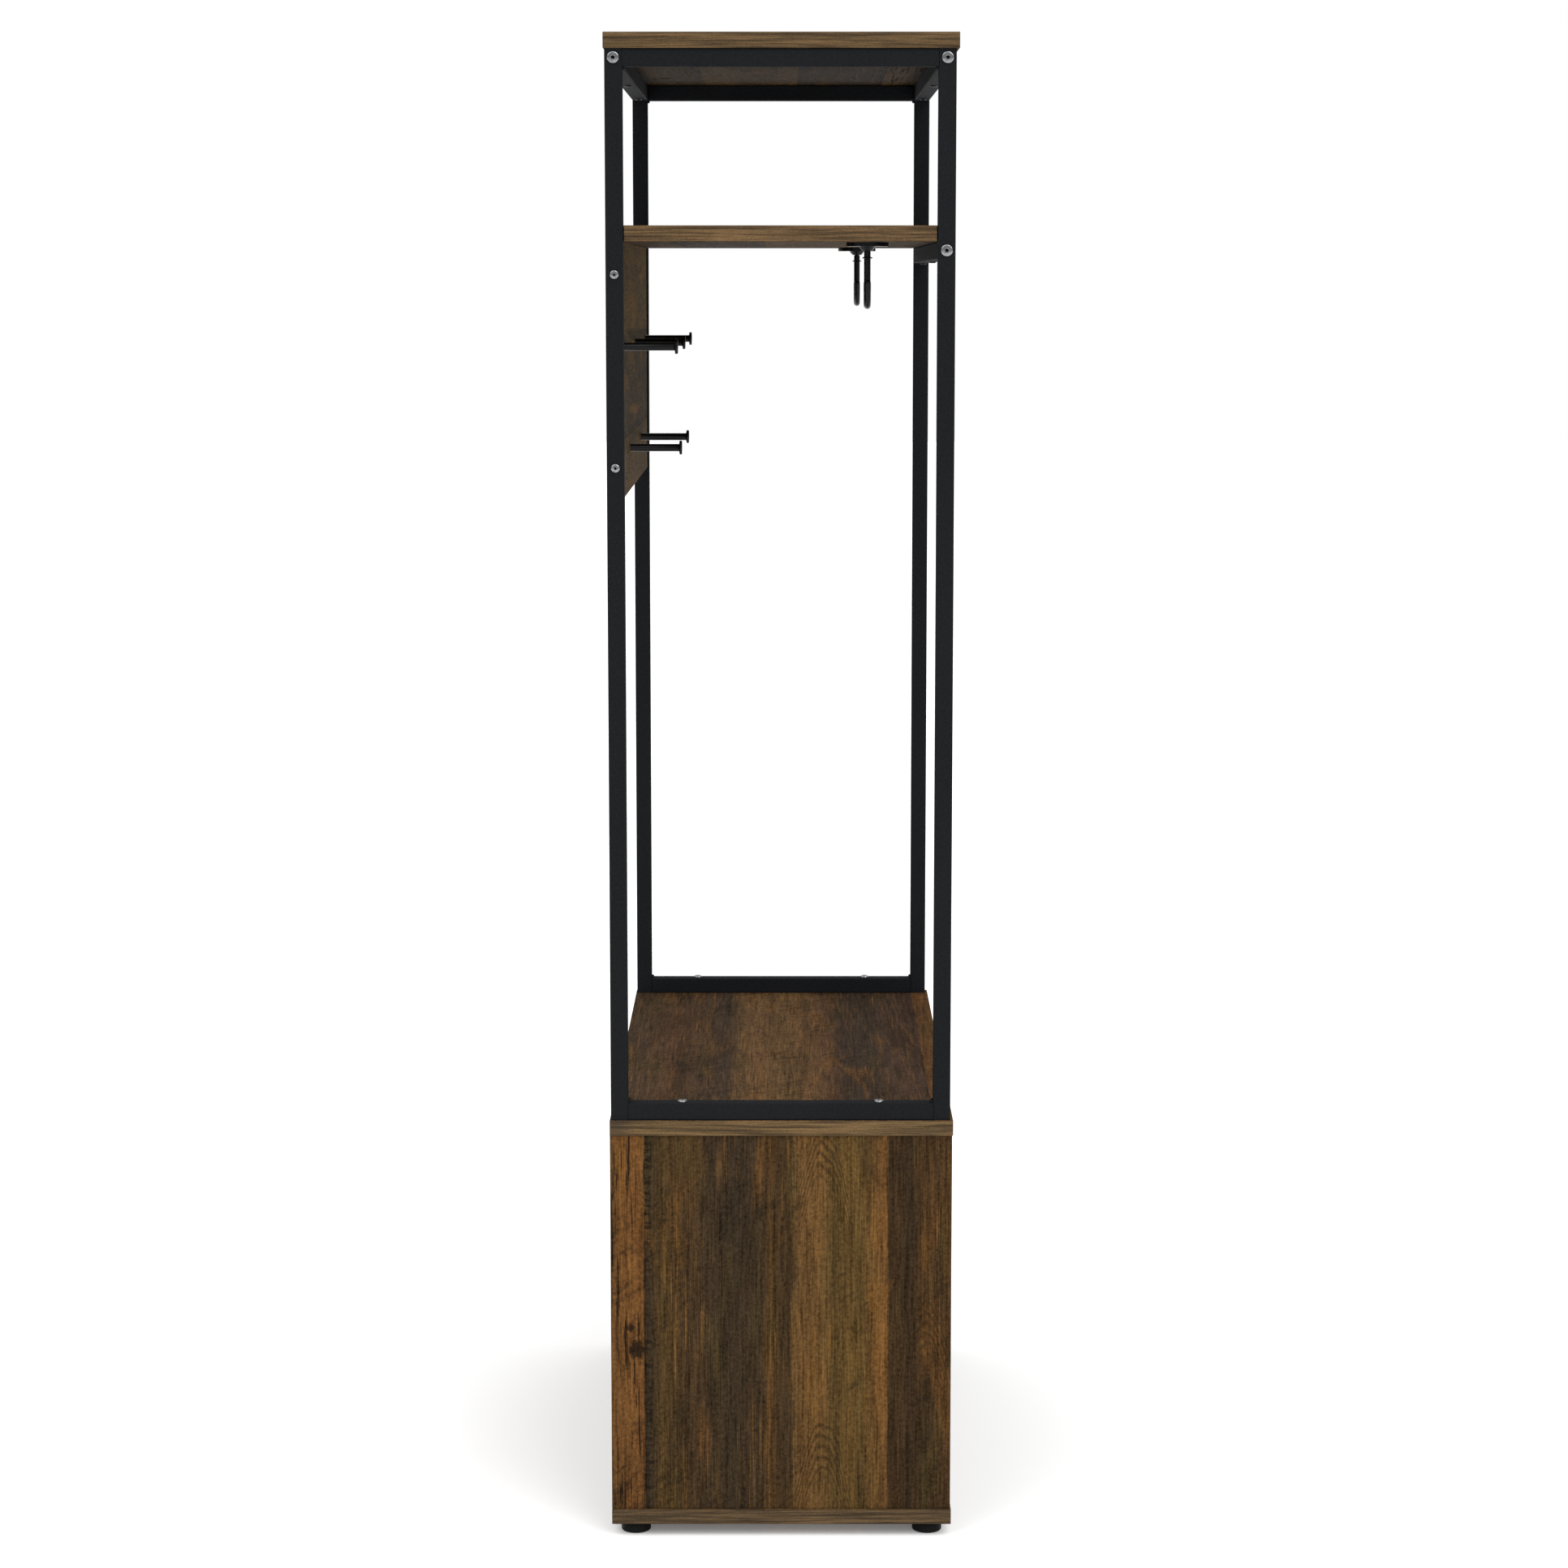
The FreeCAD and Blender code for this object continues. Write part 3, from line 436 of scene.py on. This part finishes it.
LAMINATES = {
    "left_end_panel": rustic_laminate(
        "laminate_left_end_panel", 2, 1, END_PANEL_PLANKS, 3.0,
        knots=((0.227, 0.170, 0.0095), (0.253, 0.177, 0.0042)), seams=((0.1603, -1),),
        arches=((0.150, -0.048, 0.034), (0.500, -0.050, 0.030), (0.300, -0.168, 0.034)),
        cracked=((0.1615, 0.201),)),
    "right_end_panel": rustic_laminate(
        "laminate_right_end_panel", 2, 1, [(-place, colour) for place, colour in END_PANEL_PLANKS], 47.0,
        knots=((0.340, -0.175, 0.0085),), seams=((-0.1603, 1),), arches=((0.210, 0.050, 0.034),),
        cracked=((-0.201, -0.1615),)),
    "centre_divider": rustic_laminate("laminate_divider", 2, 1, TOP_PLANKS, 61.0, seams=((0.100, -1),)),
    "bench_board": rustic_laminate(
        "laminate_bench", 0, 1, BENCH_PLANKS, 12.0,
        arches=((-0.120, -0.095, 0.045), (0.250, 0.120, 0.040), (0.330, -0.100, 0.045)), far=(-0.35, 0.40)),
    "base_board": rustic_laminate("laminate_base", 0, 1, SHELF_PLANKS, 29.0, seams=((0.130, 1),)),
    "top_board": rustic_laminate(
        "laminate_top", 0, 1, TOP_PLANKS, 35.0, knots=((0.210, 0.150, 0.008),), seams=((-0.130, 1),),
        arches=((0.050, 0.035, 0.045), (-0.300, -0.080, 0.040)), cracked=((-0.201, -0.131),),
        underside_shade_level=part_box("top_board")[0].z),
    "shelf_board": rustic_laminate(
        "laminate_shelf", 0, 1, SHELF_PLANKS, 53.0, arches=((-0.1, 0.07, 0.04),),
        underside_shade_level=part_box("shelf_board")[0].z),
    "cubby_shelf": rustic_laminate("laminate_cubby_shelf", 0, 1, BENCH_PLANKS, 71.0),
    "peg_panel": rustic_laminate(
        "laminate_peg_panel", 0, 2, PEG_PANEL_SHADED_PLANKS, 83.0, knots=((0.120, 1.350, 0.007),),
        seams=((1.290, 1),)),
}
BANDING = {
    "top_board": edge_banding("banding_top", (0, 1), BANDING_COLOUR, 1.0),
    "shelf_board": edge_banding("banding_shelf", (0, 1), (95, 74, 49), 5.0),
    "bench_board": edge_banding("banding_bench", (0, 1), (96, 76, 49), 9.0, smudge=(0.165, 0.192)),
    "base_board": edge_banding("banding_base", (0, 1), (86, 68, 46), 13.0),
    "upright": edge_banding("banding_upright", (2,), (88, 68, 46), 17.0),
    "cubby_shelf": edge_banding("banding_cubby_shelf", (0, 1), (94, 73, 49), 21.0),
    "peg_panel": edge_banding("banding_peg_panel", (0, 1), (84, 67, 47), 25.0),
}
POWDER_COAT = powder_coat()
ENAMEL = cast_black()
NICKEL = plated("nickel_plate", (150, 151, 152), 0.24, 0.6)
# Dark metal for the walls and floor of the hex sockets, painting the shade inside them.
SOCKET_SHADE = plated("socket_painted_shade", (24, 24, 25), 0.60, 0.3)
ZINC = plated("zinc_plate", (168, 170, 172), 0.36, 0.6)
BLACK_SCREW = plated("blackened_screw", (46, 46, 48), 0.38, 0.5)
PLASTIC = moulded_plastic()
BEECH = beech()
BACK_BOARD = back_board_laminate()


# ---- modelling tools ----

def joined(whole, part, place=Matrix.Identity(4)):
    """Adds a copy of a part to a whole, in its place."""
    mesh = bpy.data.meshes.new("part")
    part.to_mesh(mesh)
    mesh.transform(place)
    whole.from_mesh(mesh)
    bpy.data.meshes.remove(mesh)


def facing(point, outward):
    """Place of a part whose own +Z is to point outward from point."""
    return Matrix.Translation(point) @ outward.to_track_quat("Z", "Y").to_matrix().to_4x4()


def closed(bm):
    """Merges poles and seams and turns the faces outwards."""
    bmesh.ops.remove_doubles(bm, verts=bm.verts[:], dist=0.004 * MM)
    bmesh.ops.recalc_face_normals(bm, faces=bm.faces[:])
    return bm


def of_kind(kind, geom):
    """The corners, edges or faces among what an operator gives back."""
    return [part for part in geom if isinstance(part, kind)]


def open_edges(bm):
    return [edge for edge in bm.edges if edge.is_boundary]


def ease(bm, edges, radius, steps, finish=-1):
    """Rounds edges. The new faces get the finish of this number, or with -1 that of the faces beside them."""
    bmesh.ops.bevel(bm, geom=edges, offset=radius, offset_type="OFFSET", affect="EDGES", segments=steps,
                    profile=0.5, material=finish, clamp_overlap=True)


def sharp_block(low, high):
    """Block between two corners."""
    bm = bmesh.new()
    bmesh.ops.create_cube(bm, size=1)
    bmesh.ops.scale(bm, vec=high - low, verts=bm.verts)
    bmesh.ops.translate(bm, vec=(low + high) / 2, verts=bm.verts)
    return bm


def eased_block(low, high, easing, steps):
    bm = sharp_block(low, high)
    ease(bm, bm.edges[:], easing, steps)
    return bm


def turned(outline, sides=48):
    """Turned part: an outline of (radius, height) in millimetres spun about Z."""
    bm = bmesh.new()
    points = [bm.verts.new((radius * MM, 0, height * MM)) for radius, height in outline]
    lines = [bm.edges.new(pair) for pair in zip(points, points[1:])]
    bmesh.ops.spin(bm, geom=points + lines, cent=(0, 0, 0), axis=Z, angle=2 * math.pi, steps=sides,
                   use_merge=True)
    return closed(bm)


def arc(centre_r, centre_z, radius, start, end, steps=6):
    """Points of a rounded corner in an outline, angles in degrees from the outward direction."""
    turns = [math.radians(start + (end - start) * k / steps) for k in range(steps + 1)]
    return [(centre_r + radius * math.cos(t), centre_z + radius * math.sin(t)) for t in turns]


def drawn(path, radii, sides):
    """Rod drawn through the points of a path, with a radius at each, closed at both ends."""
    bm = bmesh.new()
    ring = bmesh.ops.create_circle(bm, cap_ends=True, segments=sides, radius=1)["verts"]
    heading, turn, last = Z, Quaternion(), Matrix.Identity(4)
    for k, (point, radius) in enumerate(zip(path, radii)):
        ahead = (path[min(k + 1, len(path) - 1)] - path[max(k - 1, 0)]).normalized()
        turn = heading.rotation_difference(ahead) @ turn
        heading = ahead
        place = Matrix.Translation(point) @ turn.to_matrix().to_4x4() @ Matrix.Scale(radius, 4)
        if k:
            ring = of_kind(BMVert, bmesh.ops.extrude_edge_only(bm, edges=open_edges(bm))["geom"])
        bmesh.ops.transform(bm, matrix=place @ last.inverted(), verts=ring)
        last = place
    bmesh.ops.contextual_create(bm, geom=open_edges(bm))
    bmesh.ops.recalc_face_normals(bm, faces=bm.faces[:])
    return bm


def button_head(head, height, shank, reach, socket):
    """Domed head with a hex socket on a plain shank, in millimetres; +Z leaves through the head."""
    rim, stem, dome = head / 2, shank / 2, height * 0.8
    corner = socket / math.sqrt(3)
    mouth = corner * 1.16
    chamfer, point, socket_depth = 0.25, 0.6, 1.3
    outline = [(mouth, height), (mouth + chamfer, height - 0.04)]
    outline += arc(rim - dome, height - dome - 0.06, dome, 84, 0)
    outline += [(rim, chamfer), (rim - chamfer, 0.0), (stem, 0.0), (stem, point - reach),
                (stem - point, -reach), (0, -reach)]
    bm = turned(outline, 36)
    loop = open_edges(bm)
    hexagon = bmesh.ops.create_circle(bm, cap_ends=False, segments=6, radius=corner * MM)["verts"]
    bmesh.ops.translate(bm, vec=(0, 0, (height - 0.12) * MM), verts=hexagon)
    sides = list({e for v in hexagon for e in v.link_edges})
    sides = of_kind(BMEdge, bmesh.ops.subdivide_edges(bm, edges=sides, cuts=5)["geom_split"])
    bmesh.ops.bridge_loops(bm, edges=loop + sides)
    wall = bmesh.ops.extrude_edge_only(bm, edges=open_edges(bm))["geom"]
    bmesh.ops.translate(bm, vec=(0, 0, -socket_depth * MM), verts=of_kind(BMVert, wall))
    base = bmesh.ops.contextual_create(bm, geom=open_edges(bm))["faces"]
    # The socket's walls and floor take the second finish, a dark metal that paints the shade inside the
    # socket.
    for face in of_kind(BMFace, wall) + base:
        face.material_index = 1
    return closed(bm)


def merged_copy(*names):
    """CAD shapes as one mesh whose faces share their corners, with flat stretches as single faces."""
    bm = bmesh.new()
    for name in names:
        bm.from_mesh(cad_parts[name].data)
    bmesh.ops.remove_doubles(bm, verts=bm.verts[:], dist=0.004 * MM)
    flat = math.radians(0.3)
    bmesh.ops.dissolve_limit(bm, angle_limit=flat, verts=bm.verts[:], edges=bm.edges[:], delimit={"NORMAL"})
    for face in bm.faces:
        face.material_index = 0
    return bm


def piece(name, bm, finishes, nodes, body=CARCASS, sharp=38):
    """Makes the mesh a piece of the hall tree that stands for its CAD nodes and moves with a body.

    Large faces square to the axes are shaded flat, and edges steeper than sharp degrees stay sharp.
    """
    large = 100 * MM * MM
    mesh = bpy.data.meshes.new(name)
    bm.to_mesh(mesh)
    bm.free()
    mesh.set_sharp_from_angle(angle=math.radians(sharp))
    for face in mesh.polygons:
        square_on = max(abs(part) for part in face.normal) > 0.9999
        face.use_smooth = not (square_on and face.area > large)
    made = bpy.data.objects.new(name, mesh)
    bpy.context.scene.collection.objects.link(made)
    for finish in finishes:
        mesh.materials.append(finish)
    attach(made, body)
    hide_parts(*nodes)
    return made


def middle(node):
    low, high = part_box(node)
    return (low + high) / 2


# ---- boards ----

def banded(bm, bare_axis):
    """Gives the second finish to every face that doesn't look along the board's thickness."""
    for face in bm.faces:
        face.material_index = int(abs(face.normal[bare_axis]) < 0.9)
    return bm


def lying_board(node, look):
    bm = banded(eased_block(*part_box(node), 0.7 * MM, 3), 2)
    piece(node + "_laminated", bm, (LAMINATES[look], BANDING[look]), (node,))


def standing_board(node, look):
    """Upright board as it is in CAD, with its holes, and with its long front and rear edges eased."""
    low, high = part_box(node)
    bm = banded(merged_copy(node), 0)
    long_edges = [e for e in bm.edges if abs(e.verts[0].co.z - e.verts[1].co.z) > 300 * MM
                  and len(e.link_faces) == 2 and e.calc_face_angle(0) > 1.4]
    corners = [e for e in long_edges if min(abs(e.verts[0].co.y - y) for y in (low.y, high.y)) < 0.1 * MM]
    ease(bm, corners, 0.6 * MM, 2, finish=1)
    piece(node + "_laminated", bm, (LAMINATES[look], BANDING["upright"]), (node,))


def hat_shelf():
    """Shelf board notched round the four posts."""
    low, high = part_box("shelf_board")
    post_low, post_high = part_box("right_front_post")
    gap = 1 * MM
    notch_x = post_low.x - gap
    notch_front = post_high.y + gap
    notch_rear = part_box("right_rear_post")[0].y - gap
    front_notch = [(high.x, notch_front), (notch_x, notch_front), (notch_x, low.y)]
    rear_notch = [(notch_x, high.y), (notch_x, notch_rear), (high.x, notch_rear)]
    outline = front_notch + [(-x, y) for x, y in reversed(front_notch)]
    outline += [(-x, y) for x, y in reversed(rear_notch)] + rear_notch
    bm = bmesh.new()
    face = bm.faces.new([bm.verts.new((x, y, low.z)) for x, y in outline])
    made = bmesh.ops.extrude_face_region(bm, geom=[face])["geom"]
    bmesh.ops.translate(bm, vec=(0, 0, high.z - low.z), verts=of_kind(BMVert, made))
    bmesh.ops.recalc_face_normals(bm, faces=bm.faces[:])
    ease(bm, bm.edges[:], 0.6 * MM, 2)
    piece("hat_shelf_laminated", banded(bm, 2),
          (LAMINATES["shelf_board"], BANDING["shelf_board"]), ("shelf_board",))


def peg_board():
    bm = banded(eased_block(*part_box("peg_panel"), 0.6 * MM, 3), 1)
    piece("peg_panel_laminated", bm,
          (LAMINATES["peg_panel"], BANDING["peg_panel"]), ("peg_panel",))


def cabinet_back():
    bm = eased_block(*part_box("back_panel"), 0.3 * MM, 2)
    piece("cabinet_back_printed", bm, (BACK_BOARD,), ("back_panel",))


# ---- steel frame ----

def tube(node, axis):
    """Square tube with rounded corners and an open bore."""
    wall, corner = 1.4 * MM, 1.5 * MM
    bm = sharp_block(*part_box(node))
    ends = [face for face in bm.faces if abs(face.normal[axis]) > 0.9]
    bmesh.ops.delete(bm, geom=ends, context="FACES_ONLY")
    ease(bm, [e for e in bm.edges if abs(e.verts[0].co[axis] - e.verts[1].co[axis]) > 1 * MM], corner, 5)
    bmesh.ops.recalc_face_normals(bm, faces=bm.faces[:])
    bmesh.ops.solidify(bm, geom=bm.faces[:], thickness=wall)
    bmesh.ops.recalc_face_normals(bm, faces=bm.faces[:])
    piece(node + "_coated", bm, (POWDER_COAT,), (node,))


def weld_beads(name):
    """Rippled fillet beads in the four inner corners of one end frame, with a ripple every four rings."""
    low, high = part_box(name + "_frame_welds")
    rings, radius, ripple = 34, 1.75 * MM, 0.16 * MM
    inset, sway, start_nip = 0.85 * MM, 0.12 * MM, 0.9921
    bm = bmesh.new()
    for y, into_y in ((low.y, 1), (high.y, -1)):
        for z, into_z in ((low.z, 1), (high.z, -1)):
            path, radii = [], []
            for k in range(rings + 1):
                share = k / rings
                drift = sway * math.sin(5 * share + y * 40 + z * 3)
                path.append(Vector((low.x + (high.x - low.x) * share, y + into_y * (inset + drift),
                                    z + into_z * (inset - drift))))
                taper = min(1.0, min(share, 1 - share) * 12 + 0.25) * (start_nip if k < 2 else 1.0)
                radii.append((radius + ripple * math.cos(math.pi / 2 * k)) * taper)
            bead = drawn(path, radii, 14)
            joined(bm, bead)
            bead.free()
    piece(name + "_weld_beads", bm, (POWDER_COAT,), (name + "_frame_welds",), sharp=60)


# ---- fasteners ----

def fasteners(name, node, finish, head, places):
    """One piece of several bolts or screws; places are (point under the head, outward)."""
    bm = bmesh.new()
    for point, outward in places:
        joined(bm, head, facing(point, outward))
    head.free()
    piece(name, bm, (finish, SOCKET_SHADE), (node,))


def frame_fasteners():
    front, rear = middle("right_front_post").y, middle("right_rear_post").y
    top, shelf = middle("front_top_rail").z, middle("shelf_tube").z
    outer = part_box("right_front_post")[1].x
    corners = ((front, top), (rear, top), (front, shelf))
    sides = ENDS.values()
    fasteners("frame_bolts_nickel", "frame_bolts", NICKEL, button_head(14, 2.4, 6, 32, 4),
              [(Vector((side * outer, y, z)), X * side) for side in sides for y, z in corners])

    under_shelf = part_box("shelf_board")[0].z
    levels = [under_shelf - drop * MM for drop in (37, 255)]
    fasteners("peg_panel_bolts_nickel", "peg_panel_bolts", NICKEL,
              button_head(10.5, 2.4, 5, 45, 3),
              [(Vector((side * outer, rear, z)), X * side) for side in sides for z in levels])

    low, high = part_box("bottom_rail_screws")
    rail_top, rail_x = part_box("right_bottom_rail")[1].z, middle("right_bottom_rail").x
    head_radius = 5.5 * MM
    fasteners("bottom_rail_screws_nickel", "bottom_rail_screws", NICKEL,
              button_head(11, 2.6, 4.5, 32, 3),
              [(Vector((side * rail_x, y, rail_top)), Z) for side in sides
               for y in (low.y + head_radius, high.y - head_radius)])

    under_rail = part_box("front_top_rail")[0].z
    head_radius = 4.5 * MM
    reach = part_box("top_board_screws")[1].x - head_radius
    fasteners("top_board_screws_black", "top_board_screws", BLACK_SCREW,
              button_head(9, 2, 4, 32, 2.5),
              [(Vector((x, y, under_rail)), -Z) for y in (front, rear) for x in (-reach, 0, reach)])
    under_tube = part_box("shelf_tube")[0].z
    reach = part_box("shelf_screws")[1].x - head_radius
    fasteners("shelf_screws_black", "shelf_screws", BLACK_SCREW,
              button_head(9, 2, 4, 32, 2.5),
              [(Vector((x, front, under_tube)), -Z) for x in (-reach, 0, reach)])

    panel_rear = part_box("peg_panel")[1].y
    fasteners("peg_screws_nickel", "peg_screws", NICKEL, button_head(8, 2, 4, 33, 2.5),
              [(Vector((middle(peg).x, panel_rear, middle(peg).z)), Y) for peg in PEGS])


# ---- pegs, hooks and feet ----

def coat_peg(node):
    """Peg with a disc head, a small fillet behind the head and a rounded rim."""
    rod, head, fillet, under_head, tip = 4.5, 8.5, 1.2, 58.5, 62.0
    outline = [(0, 0), (rod + 0.4, 0), (rod + 0.4, 0.5), (rod, 0.9), (rod, under_head - fillet)]
    outline += arc(rod + fillet, under_head - fillet, fillet, 180, 90, 4)
    outline += arc(head - 1.0, under_head + 1.0, 1.0, -90, 0, 4)
    outline += arc(head - 1.2, tip - 1.3, 1.2, 0, 80, 6)
    outline += [(4.0, tip), (0, tip)]
    at = middle(node)
    at.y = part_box(node)[1].y
    bm = turned(outline)
    bmesh.ops.transform(bm, matrix=facing(at, -Y), verts=bm.verts)
    piece(node + "_enamelled", bm, (ENAMEL,), (node,), sharp=50)


def swivel_plate(name):
    """Hook plate as it is in CAD, with its countersunk holes, smoothed."""
    node = name + "_hook_plate"
    piece(node + "_enamelled", merged_copy(node), (ENAMEL,), (node,), sharp=32)


# Sizes of a hook in millimetres; levels are from the top of its plate
HOOK_SHANK, HOOK_TIP = 3.8, 3.5
HOOK_BEND, PRONG_LEAN = 14.0, 2.0
BEND_LEVEL, TIP_LEVEL = -58.4, -46.2


def hook_prong(way):
    """Prong that bends up from the shank to one side and ends in a soft tip."""
    path, radii = [], []
    bend_steps, straight_steps, tip_steps = 18, 5, 6
    for k in range(bend_steps + 1):
        share = k / bend_steps
        turn = math.pi * share
        across, drop = HOOK_BEND * (1 - math.cos(turn)), HOOK_BEND * math.sin(turn)
        path.append(Vector((way * across, 0, BEND_LEVEL - drop)) * MM)
        radii.append((HOOK_SHANK + (HOOK_TIP - HOOK_SHANK) * share) * MM)
    start = Vector((way * 2 * HOOK_BEND, 0, BEND_LEVEL))
    tip = Vector((way * (2 * HOOK_BEND + PRONG_LEAN), 0, TIP_LEVEL))
    for k in range(1, straight_steps + 1):
        share = k / straight_steps
        path.append(start.lerp(tip, share) * MM)
        radii.append((HOOK_TIP + 0.1 * math.sin(math.pi * share)) * MM)
    up = (tip - start).normalized()
    for k in range(1, tip_steps + 1):
        turn = math.pi / 2 * k / tip_steps
        path.append((tip + up * HOOK_TIP * math.sin(turn)) * MM)
        radii.append(max(HOOK_TIP * math.cos(turn), 0.02) * MM)
    return drawn(path, radii, 24)


def swivel_hook(name):
    """Hook with a pin in its plate, a collar, and two prongs."""
    node = name + "_hook"
    outline = [(0, -1.1), (4.3, -1.1)] + arc(4.3, -1.3, 0.2, 90, 0, 3) + [(4.5, -2.7), (4.3, -2.9)]
    outline += [(2.5, -2.9), (2.5, -9.8), (3.5, -9.8), (HOOK_SHANK, -10.1), (HOOK_SHANK, -16.5), (6.0, -17.4)]
    outline += arc(5.9, -17.7, 0.3, 90, -90, 5)
    outline += [(6.0, -18.0), (HOOK_SHANK, -18.9), (HOOK_SHANK, BEND_LEVEL), (0, BEND_LEVEL)]
    whole = turned(outline, 40)
    for way in (-1, 1):
        prong = hook_prong(way)
        joined(whole, prong)
        prong.free()
    at = middle(node)
    at.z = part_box(name + "_hook_plate")[1].z
    bmesh.ops.translate(whole, vec=at, verts=whole.verts)
    piece(node + "_enamelled", whole, (ENAMEL,), (node,), body=node, sharp=40)


def plate_screws():
    node = "hook_plate_screws"
    piece(node + "_black", merged_copy(node), (BLACK_SCREW,), (node,), sharp=32)


def glide(node):
    """Round foot with a soft rim, a shallow seat groove near the top and a recess under it."""
    rim, height, bore, recess = 17.5, 15.0, 2.1, 6.0
    soft, groove = 2.5, 0.3
    outline = [(bore, 8.9), (recess, 9.0), (recess, 0.4), (recess + 0.4, 0.0), (rim - soft, 0.0)]
    outline += arc(rim - soft, soft, soft, -90, 0, 8)
    outline += [(rim, 12.2), (rim - groove, 12.5), (rim - groove, 12.9), (rim, 13.2)]
    outline += [(rim, height - 0.4), (rim - 0.4, height), (bore, height), (bore, 8.9)]
    bm = turned(outline, 64)
    at = middle(node)
    at.z = 0
    bmesh.ops.translate(bm, vec=at, verts=bm.verts)
    piece(node + "_moulded", bm, (PLASTIC,), (node,), sharp=50)


# ---- assembly ----

for board in ("top_board", "bench_board", "base_board"):
    lying_board(board, board)
hat_shelf()
peg_board()
cabinet_back()
standing_board("centre_divider", "centre_divider")
for word in ENDS:
    standing_board(word + "_end_panel", word + "_end_panel")
    lying_board(word + "_cubby_shelf", "cubby_shelf")
    tube(word + "_front_post", 2)
    tube(word + "_rear_post", 2)
    tube(word + "_top_rail", 1)
    tube(word + "_bottom_rail", 1)
    weld_beads(word)
    swivel_plate(word)
    swivel_hook(word)
for node in ("front_top_rail", "rear_top_rail", "shelf_tube"):
    tube(node, 0)
frame_fasteners()
plate_screws()
for node in PEGS:
    coat_peg(node)
for node in ("front_left_foot", "front_right_foot", "rear_left_foot", "rear_right_foot"):
    glide(node)

# Small fittings that keep their CAD shape
KEPT = {
    "tube_end_plugs": POWDER_COAT, "foot_screws": NICKEL, "shelf_pins": NICKEL, "cam_locks": ZINC,
    "cam_bolts": ZINC, "cabinet_dowels": BEECH, "shelf_dowels": BEECH,
}
for node, finish in KEPT.items():
    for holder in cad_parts[node].material_slots:
        holder.material = finish


# ---- studio ----

def studio_floor():
    bm = bmesh.new()
    bmesh.ops.create_grid(bm, x_segments=4, y_segments=4, size=30)
    mesh = bpy.data.meshes.new("studio_floor")
    bm.to_mesh(mesh)
    bm.free()
    mesh.materials.append(pale_floor())
    floor = bpy.data.objects.new("studio_floor", mesh)
    bpy.context.scene.collection.objects.link(floor)


def soft_light(name, source, spread, strength):
    """Even light from a direction, softened over a wide angle."""
    lamp = bpy.data.lights.new(name, "SUN")
    lamp.angle = math.radians(spread)
    lamp.energy = strength
    holder = bpy.data.objects.new(name, lamp)
    holder.rotation_euler = Vector(source).to_track_quat("Z", "Y").to_euler()
    bpy.context.scene.collection.objects.link(holder)


def studio_air():
    """White backdrop, with light that comes mostly from overhead."""
    world = bpy.data.worlds.new("studio_air")
    world.use_nodes = True
    tree = world.node_tree
    glow = tree.nodes["Background"]
    glow.inputs["Color"].default_value = (1.0, 1.0, 1.0, 1.0)
    paper = tree.nodes.new("ShaderNodeBackground")
    paper.inputs["Color"].default_value = (1.0, 1.0, 1.0, 1.0)
    paper.inputs["Strength"].default_value = 1.0
    sky = tree.nodes.new("ShaderNodeTexCoord")
    split = tree.nodes.new("ShaderNodeSeparateXYZ")
    climb = tree.nodes.new("ShaderNodeMapRange")
    climb.interpolation_type = "SMOOTHSTEP"
    just_below, well_up, dim, bright = -0.05, 0.75, 0.20, 1.00
    for socket, value in enumerate((just_below, well_up, dim, bright), start=1):
        climb.inputs[socket].default_value = value
    seen = tree.nodes.new("ShaderNodeLightPath")
    either = tree.nodes.new("ShaderNodeMixShader")
    tree.links.new(sky.outputs["Generated"], split.inputs[0])
    tree.links.new(split.outputs["Z"], climb.inputs[0])
    tree.links.new(climb.outputs[0], glow.inputs["Strength"])
    tree.links.new(seen.outputs["Is Camera Ray"], either.inputs[0])
    tree.links.new(glow.outputs[0], either.inputs[1])
    tree.links.new(paper.outputs[0], either.inputs[2])
    tree.links.new(either.outputs[0], tree.nodes["World Output"].inputs["Surface"])
    bpy.context.scene.world = world


def end_camera(lens, back, aside, height, pitch):
    """Camera beyond the left end: its lens in millimetres, its place in metres, its pitch down in degrees."""
    low, high = cad_box
    camera = bpy.data.cameras.new("end_view")
    camera.sensor_width = 36
    camera.lens = lens
    eye = bpy.data.objects.new("end_view", camera)
    eye.location = (low.x - back, (low.y + high.y) / 2 + aside, height)
    down = math.radians(pitch)
    eye.rotation_euler = Vector((math.cos(down), 0, -math.sin(down))).to_track_quat("-Z", "Y").to_euler()
    bpy.context.scene.collection.objects.link(eye)
    bpy.context.scene.camera = eye


studio_floor()
soft_light("front_light", (-1.0, -0.9, 1.2), 50, 1.35)
soft_light("rear_light", (-0.7, 1.0, 1.2), 50, 0.75)
studio_air()
end_camera(lens=84.1, back=4.169, aside=-0.003, height=1.466, pitch=7.766)
bpy.context.scene.view_settings.view_transform = "Standard"
